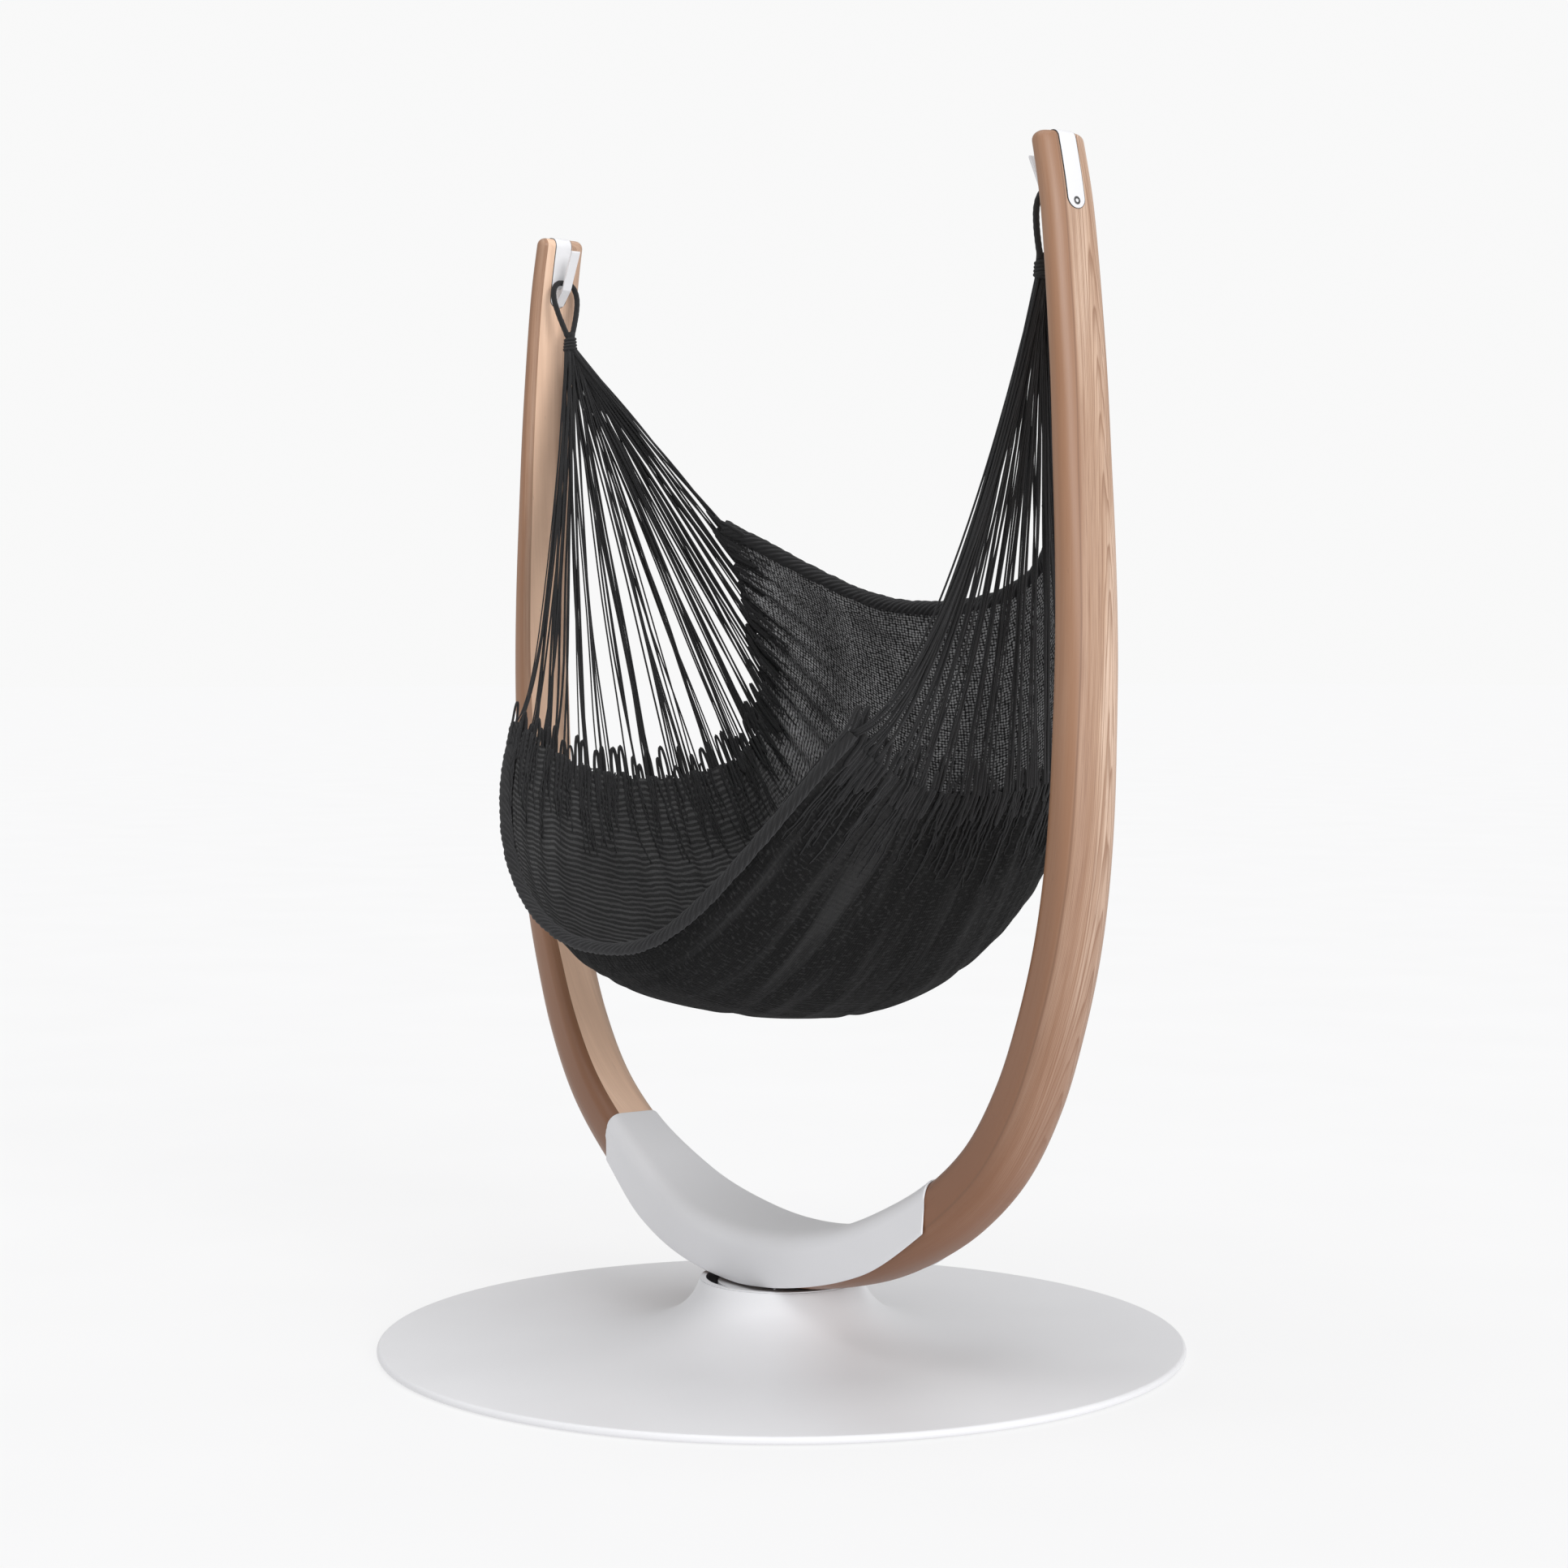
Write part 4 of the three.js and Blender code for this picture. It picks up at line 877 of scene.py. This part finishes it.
def screw_head(name, side):
    """Countersunk head with a hexagon socket, near the outer end of the strap."""
    length = float(np.interp(BOLT_HEIGHT, *bolt_table()))
    inner, along, out = arm_frame(length)
    centre = inner + out * (arm_size(length, 2) + STRAP_THICK - STRAP_SUNK)
    turns = np.radians(np.arange(0, 360, 10))
    hexagon = np.cos(np.pi / 6) / np.cos(np.mod(turns, np.pi / 3) - np.pi / 6)
    profile = [(0.0006, -0.001, 0), (0.0056, -0.001, 0), (0.0056, 0.0002, 0), (0.0051, 0.0006, 0),
               (0.0033, 0.0006, 0), (0.0028, 0.0003, 1), (0.0026, -0.0008, 1), (0.0004, -0.0008, 1)]
    rings = []
    for radius, height, six in profile:
        reach = radius * (hexagon if six else np.ones(len(turns)))
        ring = centre + out * height + np.outer(reach * np.cos(turns), along)
        ring = ring + np.outer(reach * np.sin(turns), (0, 1, 0))
        ring[:, 0] *= side
        rings.append(ring)
    batch = Batch()
    batch.skin(rings, np.linspace(0, 0.02, len(rings)), np.linspace(0, 0.03, len(turns) + 1))
    return place(batch.build(f"screw_head_{name}", SCREW), "frame", "zinc_steel")


def bolt_table():
    """Heights and lengths along the upper arm, to find the length at a height."""
    lengths = np.linspace(ARM_LENGTH - 0.3, ARM_LENGTH - ARM_TIP_ROUND, 200)
    return [arm_frame(length)[0][2] for length in lengths], lengths


def hook_place():
    length = ARM_LENGTH
    while arm_frame(length)[0][2] > HOOK_HEIGHT:
        length -= 0.0005
    inner, along, out = arm_frame(length)
    return inner, -out, along


HOOK_ORIGIN, HOOK_INWARD, HOOK_UP = hook_place()
THROAT_X = HOOK_ORIGIN[0] - HOOK_BACK - HOOK_THROAT


def hook(name, side):
    throat = HOOK_BACK + HOOK_THROAT
    blade = throat + HOOK_THROAT
    tip = blade + HOOK_LEAN
    outline = [
        (HOOK_BACK, -0.035), (HOOK_BACK + 0.003, -0.036), (HOOK_BACK + 0.009, -0.027),
        (HOOK_BACK + 0.016, -0.0165), (blade + 0.001, -0.008), (blade + HOOK_BLADE, 0.003),
        (tip + HOOK_BLADE, HOOK_RISE - 0.002), (tip + HOOK_BLADE - 0.001, HOOK_RISE),
        (tip + 0.0005, HOOK_RISE), (tip - 0.0005, HOOK_RISE - 0.002),
        *arc(throat, HOOK_THROAT_RISE, HOOK_THROAT, 0, -180, 20),
    ]
    rings = []
    for y in (-HOOK_WIDTH / 2, HOOK_WIDTH / 2):
        ring = [HOOK_ORIGIN + HOOK_INWARD * a + HOOK_UP * b for a, b in outline]
        rings.append([(side * p[0], y, p[2]) for p in ring])
    batch = Batch()
    batch.skin(rings, [0, HOOK_WIDTH], np.linspace(0, 0.15, len(outline) + 1))
    piece = batch.build(f"hook_blade_{name}", PAINT, smooth=False)
    bevel(piece, 0.001, 3, 40)
    return place(piece, "frame", "white_paint", f"hook_{name}")


# ---------- hammock ----------

ROUND_SHARES = np.linspace(0, 1, 2001)
SEAT_MIDDLE_LINE = catmull(SEAT_MIDDLE, ROUND_SHARES)
SEAT_END_LINE = catmull(SEAT_END, ROUND_SHARES)


def on_line(line, share):
    return np.stack([np.interp(share, ROUND_SHARES, line[:, n]) for n in range(3)], -1)


def seat_point(across, share):
    """Points of the seat: across from -1 at the left end to +1, share from 0 at the front rim to 1."""
    across, share = np.broadcast_arrays(np.asarray(across, float), np.asarray(share, float))
    middle, end = on_line(SEAT_MIDDLE_LINE, share), on_line(SEAT_END_LINE, share)
    reach = np.abs(across)
    return np.stack([
        end[..., 0] * across,
        middle[..., 1] + (end[..., 1] - middle[..., 1]) * reach ** SEAT_POWER_Y,
        middle[..., 2] + (end[..., 2] - middle[..., 2]) * reach ** SEAT_POWER_Z,
    ], -1)


def seat_run(across, share):
    step = 0.01
    run = seat_point(across, np.minimum(share + step, 1)) - seat_point(across, np.maximum(share - step, 0))
    return run / np.linalg.norm(run, axis=-1, keepdims=True)


def seat_inward(across, share):
    """Unit direction from the seat's outer face into the hollow where the sitter is."""
    step = 0.004
    along = seat_point(np.asarray(across) + step, share) - seat_point(np.asarray(across) - step, share)
    inward = np.cross(along, seat_run(across, share))
    return inward / np.linalg.norm(inward, axis=-1, keepdims=True)


def weave_share(across, share, room):
    """Place round the section at a share of the weave's own width, short of both rims by room."""
    front = 0.1 * room / np.linalg.norm(seat_point(across, 0) - seat_point(across, 0.1), axis=-1)
    back = 0.1 * room / np.linalg.norm(seat_point(across, 1) - seat_point(across, 0.9), axis=-1)
    return front + (1 - front - back) * share


def pleats(across, share):
    """Height of the gathers that run down into the weave from both ends, and of faint ridges between."""
    near = smoothstep(np.abs(across), 0.3, 1.0)
    patchy = 0.55 + 0.45 * np.sin(17 * share + 4 * np.sin(5 * share) + 2.5 * across)
    fold = np.sin(2 * np.pi * (19 * share + 0.8 * np.sin(9 * share + 2 * across)))
    small = np.sin(2 * np.pi * (43 * share + 1.3 * np.sin(13 * share) + 0.5 * across))
    ridge = np.cos(np.pi * (7.2 * share + 0.25 * np.sin(2.4 * across) + 0.3)) ** 30
    ripple = np.sin(47 * across + 3 * np.sin(6 * share) + 2 * np.sin(15 * share + 8 * across))
    swell = np.sin(5 * across + 7 * share) * np.sin(9 * share - 3 * across)
    gathers = near * patchy * (0.0042 * fold + 0.0018 * small)
    return gathers + 0.0026 * ridge + 0.0006 * ripple + 0.0016 * swell


def sheet_thickness(share):
    return 0.0055 - 0.003 * smoothstep(share, 0.3, 0.6)


def seat_sheet():
    """The woven seat as one closed sheet."""
    across_count, share_count = 260, 220
    across = np.linspace(-0.995, 0.995, across_count)[:, None]
    flat = np.linspace(0, 1, share_count)[None, :]
    share = weave_share(across, flat, ROLL_ROOM)
    surface = seat_point(across, share)
    inward = seat_inward(across, share)
    thick = sheet_thickness(share)
    lift = pleats(across, share)
    outer = surface + inward * (SHEET_LIFT + lift)[..., None]
    inner = surface + inward * (SHEET_LIFT + lift + thick)[..., None]
    rings = np.concatenate([outer, inner[:, ::-1]], 1)
    length = run_of(surface[:, LENGTH_LINE])
    run = run_of(surface[across_count // 2])
    around = np.concatenate([run, run[::-1], run[:1]])
    batch = Batch()
    batch.skin(rings, length, around)
    piece = batch.build("seat", WEAVE)
    facing = piece.data.attributes.new("inner_face", "FLOAT", "POINT")
    side = np.concatenate([np.zeros(share_count), np.ones(share_count)])
    facing.data.foreach_set("value", np.tile(side, across_count))
    add_uv(piece, "Share", uv_values(piece) / (length[-1], run[-1]))
    return place(piece, "hammock", "black_weave", "seat_weave"), (float(run[-1]), float(length[-1]))


def rim(name, share, node, radius):
    """Rolled edge of the seat: a roll of weave with fine slanting plaits."""
    across = np.linspace(-1.0, 1.0, 200)
    inward = 1 if share == 0 else -1
    centre = seat_point(across, share) + seat_run(across, share) * inward * (radius + 0.001)
    centre = resample(centre, 700)
    run = np.linspace(0, 1, len(centre))
    swell = 1 + 0.05 * np.sin(2 * np.pi * 13 * run + 2 * np.sin(31 * run))
    swell += 0.03 * np.sin(2 * np.pi * 41 * run)
    batch = Batch()
    batch.tube(centre, radius * swell, 48, bumps=8, twist=9.0, depth=0.2)
    return place(batch.build(name, ROLL), "hammock", "black_cord", node)


def fan_point(end, start, along, loose):
    """Points on one string from its place at the wrap to its end, sagging if it is loose."""
    along = np.asarray(along)[:, None]
    path = start + (end - start) * along
    path[:, 2:] -= FAN_SAG * loose * 4 * along * (1 - along)
    return path


def string_fan(name, side):
    """Strings in bundles from the wrap to the end of the seat, where each opens into loops."""
    batch = Batch()
    along = np.linspace(0, 1, 26)
    for bundle in range(BUNDLES):
        centre = (bundle + 0.5 + random.uniform(-0.22, 0.22)) / BUNDLES
        for _ in range(random.integers(FEWEST_STRINGS, MOST_STRINGS + 1)):
            spread = random.normal(0, 0.2)
            share = float(np.clip(centre + spread / BUNDLES, 0.004, 0.996))
            tight = float(np.clip(centre + 0.5 * spread / BUNDLES, 0.004, 0.996))
            loose = max(1 - share / FAN_SAG_ROUND, 0) * random.uniform(0.93, 1.07)
            turn = random.uniform(0, 2 * np.pi)
            root = np.array(APEX) + [0.006 * math.cos(turn), 0.007 * math.sin(turn), -0.004]
            wide = fan_point(on_line(SEAT_END_LINE, share), root, along, loose)
            narrow = fan_point(on_line(SEAT_END_LINE, tight), root, along, loose)
            open_up = smoothstep(along, 0.55, 0.97)[:, None]
            path = narrow * (1 - open_up) + wide * open_up
            depth = random.normal(0, 0.0035)
            wave = depth * np.sin(np.pi * along) + random.normal(0, 0.0012) * np.sin(3 * np.pi * along + turn)
            path[:, 0] += wave
            path[:, 1] += random.normal(0, 0.0022) * np.sin(2 * np.pi * along + turn) * np.sin(np.pi * along)
            path[:, 0] *= side
            batch.tube(path, random.uniform(0.0011, 0.002), 6)
    return place(batch.build(f"strings_{name}", STRING), "hammock", "black_cord", f"string_fan_{name}")


def fringe(name, side):
    """Where strings meet weave: open loops over the end line, and tails that run on over both faces."""
    batch = Batch()
    apex = np.array([side * APEX[0], APEX[1], APEX[2]])
    for n in range(END_LOOPS):
        share = (n + 0.5 + random.uniform(-0.3, 0.3)) / END_LOOPS
        top = random.uniform(1.02, 1.095)
        bottom = random.uniform(0.93, 0.965)
        half = random.uniform(0.003, 0.0062)
        along = np.linspace(0, 2 * np.pi, 22, endpoint=False)
        place_across = (top + bottom) / 2 + (top - bottom) / 2 * np.cos(along)
        beyond = np.maximum(place_across - 1, 0)
        base = seat_point(side * np.minimum(place_across, 1), share)
        pull = apex - base
        pull /= np.linalg.norm(pull, axis=1)[:, None]
        path = base + pull * (beyond * 0.55)[:, None]
        path += seat_run(side * 0.99, share) * (half * np.sin(along))[:, None]
        path += seat_inward(side * 0.99, share) * random.uniform(-0.001, 0.009)
        batch.tube(path, random.uniform(0.0019, 0.0031), 6, closed=True)
    for _ in range(END_TAILS):
        share = random.uniform(0.012, 0.985)
        stop = random.uniform(0.8, 0.93) + 0.06 * smoothstep(share, 0.45, 0.6)
        across = np.linspace(1.0, stop, 12)
        drift = share + random.normal(0, 0.007) * (1 - across) * 6
        inside = np.clip(drift, 0.005, 0.995)
        face = 0.0018 if random.random() < 0.4 else 0.0046 + sheet_thickness(inside)
        path = seat_point(side * across, inside)
        path += seat_inward(side * across, inside) * (face + pleats(side * across, inside))[:, None]
        path += random.normal(0, 0.0008, path.shape)
        thin = np.linspace(1, 0.4, len(path)) * random.uniform(0.0014, 0.0026)
        batch.tube(path, thin, 5)
    return place(batch.build(f"fringe_{name}", STRING), "hammock", "black_cord", f"end_cord_{name}")


def loop_path(side):
    """Centre line of the hanging loop, from the wrap up over the hook's throat and back."""
    half = [*LOOP_HALF, LOOP_END]
    line = [(-y, drop) for y, drop in half[:0:-1]] + half
    points = [(side * (THROAT_X - drop / LOOP_DROP * LOOP_LEAN), y, HOOK_HEIGHT - drop) for y, drop in line]
    return resample(catmull(points, np.linspace(0, 1, 400)), 90)


def hang_loop(name, side):
    path = loop_path(side)
    batch = Batch()
    batch.tube(path, LOOP_CORD, 18, bumps=5, twist=22.0, depth=0.1)
    piece = place(batch.build(f"loop_cord_{name}", CORD), "hammock", "black_cord", f"hang_loop_{name}")
    return piece, path, float(run_of(path)[-1])


def end_wrap(name, side):
    """Turns of cord bound round the strings' roots, over a core of gathered strings."""
    batch = Batch()
    angle = np.linspace(0, 2 * np.pi * 4.5, 150)
    height = np.linspace(APEX[2] - WRAP_BELOW, APEX[2] + WRAP_ABOVE, len(angle))
    reach = np.interp(height, [height[0], height[-1]], [0.0105, 0.0085])
    centre = side * APEX[0]
    turns = np.stack([centre + reach * np.cos(angle), reach * 0.9 * np.sin(angle), height], 1)
    batch.tube(turns, 0.0026, 8)
    out = 0.0075
    rise = np.linspace(0, 1, 8)
    for around in np.linspace(0, 2 * np.pi, 26, endpoint=False):
        path = np.stack([
            centre + out * math.cos(around) * (1 - 0.5 * np.maximum(rise - 0.6, 0)),
            out * math.sin(around) * (1 - 0.35 * rise),
            APEX[2] - 0.014 + 0.034 * rise,
        ], 1)
        batch.tube(path, 0.0021, 6)
    core = [(centre, 0, APEX[2] - 0.013), (centre, 0, APEX[2]), (centre, 0, APEX[2] + 0.014)]
    batch.tube(core, [0.0095, 0.009, 0.0065], 14)
    return place(batch.build(f"wrap_{name}", CORD), "hammock", "black_cord", f"end_wrap_{name}")


# ---------- stage ----------

def sun(name, direction, strength, spread):
    """A soft light from a direction, so that the floor is lit evenly."""
    data = bpy.data.lights.new(name, "SUN")
    data.energy = strength
    data.angle = math.radians(spread)
    light = bpy.data.objects.new(name, data)
    bpy.context.scene.collection.objects.link(light)
    light.rotation_euler = Vector(direction).to_track_quat("Z", "Y").to_euler()


def studio_world():
    """White surroundings, which light the object less than they show."""
    world = bpy.data.worlds.new("studio")
    world.use_nodes = True
    tree = world.node_tree
    background = tree.nodes["Background"]
    background.inputs["Color"].default_value = (1, 1, 1, 1)
    path = tree.nodes.new("ShaderNodeLightPath")
    strength = tree.nodes.new("ShaderNodeMapRange")
    strength.inputs["To Min"].default_value = WORLD_LIGHT
    strength.inputs["To Max"].default_value = WORLD_SHOWN
    tree.links.new(path.outputs["Is Camera Ray"], strength.inputs["Value"])
    tree.links.new(strength.outputs["Result"], background.inputs["Strength"])
    bpy.context.scene.world = world


def stage():
    bpy.ops.mesh.primitive_plane_add(size=400, location=(0, 0, 0))
    floor = bpy.context.object
    floor.name = "floor"
    shade = Shader("floor", 1.0, Specular_IOR_Level=0.0, Emission_Strength=FLOOR_GLOW)
    shade.bsdf.inputs["Emission Color"].default_value = (1, 1, 1, 1)
    speck = shade.noise(shade.coordinates((1, 1, 1), uv=False), 2.0, 2.0)
    shade.colour(shade.ramp(speck, [(0.3, grey(FLOOR_ALBEDO)), (0.7, grey(FLOOR_ALBEDO + 0.01))]))
    floor.data.materials.append(shade.material)
    studio_world()
    sun("key", (1.0, -0.1, 0.34), 1.7, 30)
    sun("top", (0.1, -0.2, 1.0), 1.1, 70)
    bpy.context.scene.view_settings.view_transform = "Standard"


# ---------- build ----------

make_camera()
sides = (("right", 1), ("left", -1))
for side_name, side_sign in sides:
    loop, route, loop_length = hang_loop(side_name, side_sign)
    end_wrap(side_name, side_sign)
    string_fan(side_name, side_sign)
    fringe(side_name, side_sign)
rim("rolled_edge_front", 0, "front_rim", FRONT_ROLL_RADIUS)
rim("rolled_edge_back", 1, "back_rim", BACK_ROLL_RADIUS)
seat, seat_flat = seat_sheet()

base_dish()
finish_hidden_nodes()
for side_name, side_sign in sides:
    arm(side_name, side_sign)
    strap(side_name, side_sign)
    screw_head(side_name, side_sign)
    hook(side_name, side_sign)
saddle_cover()
stage()
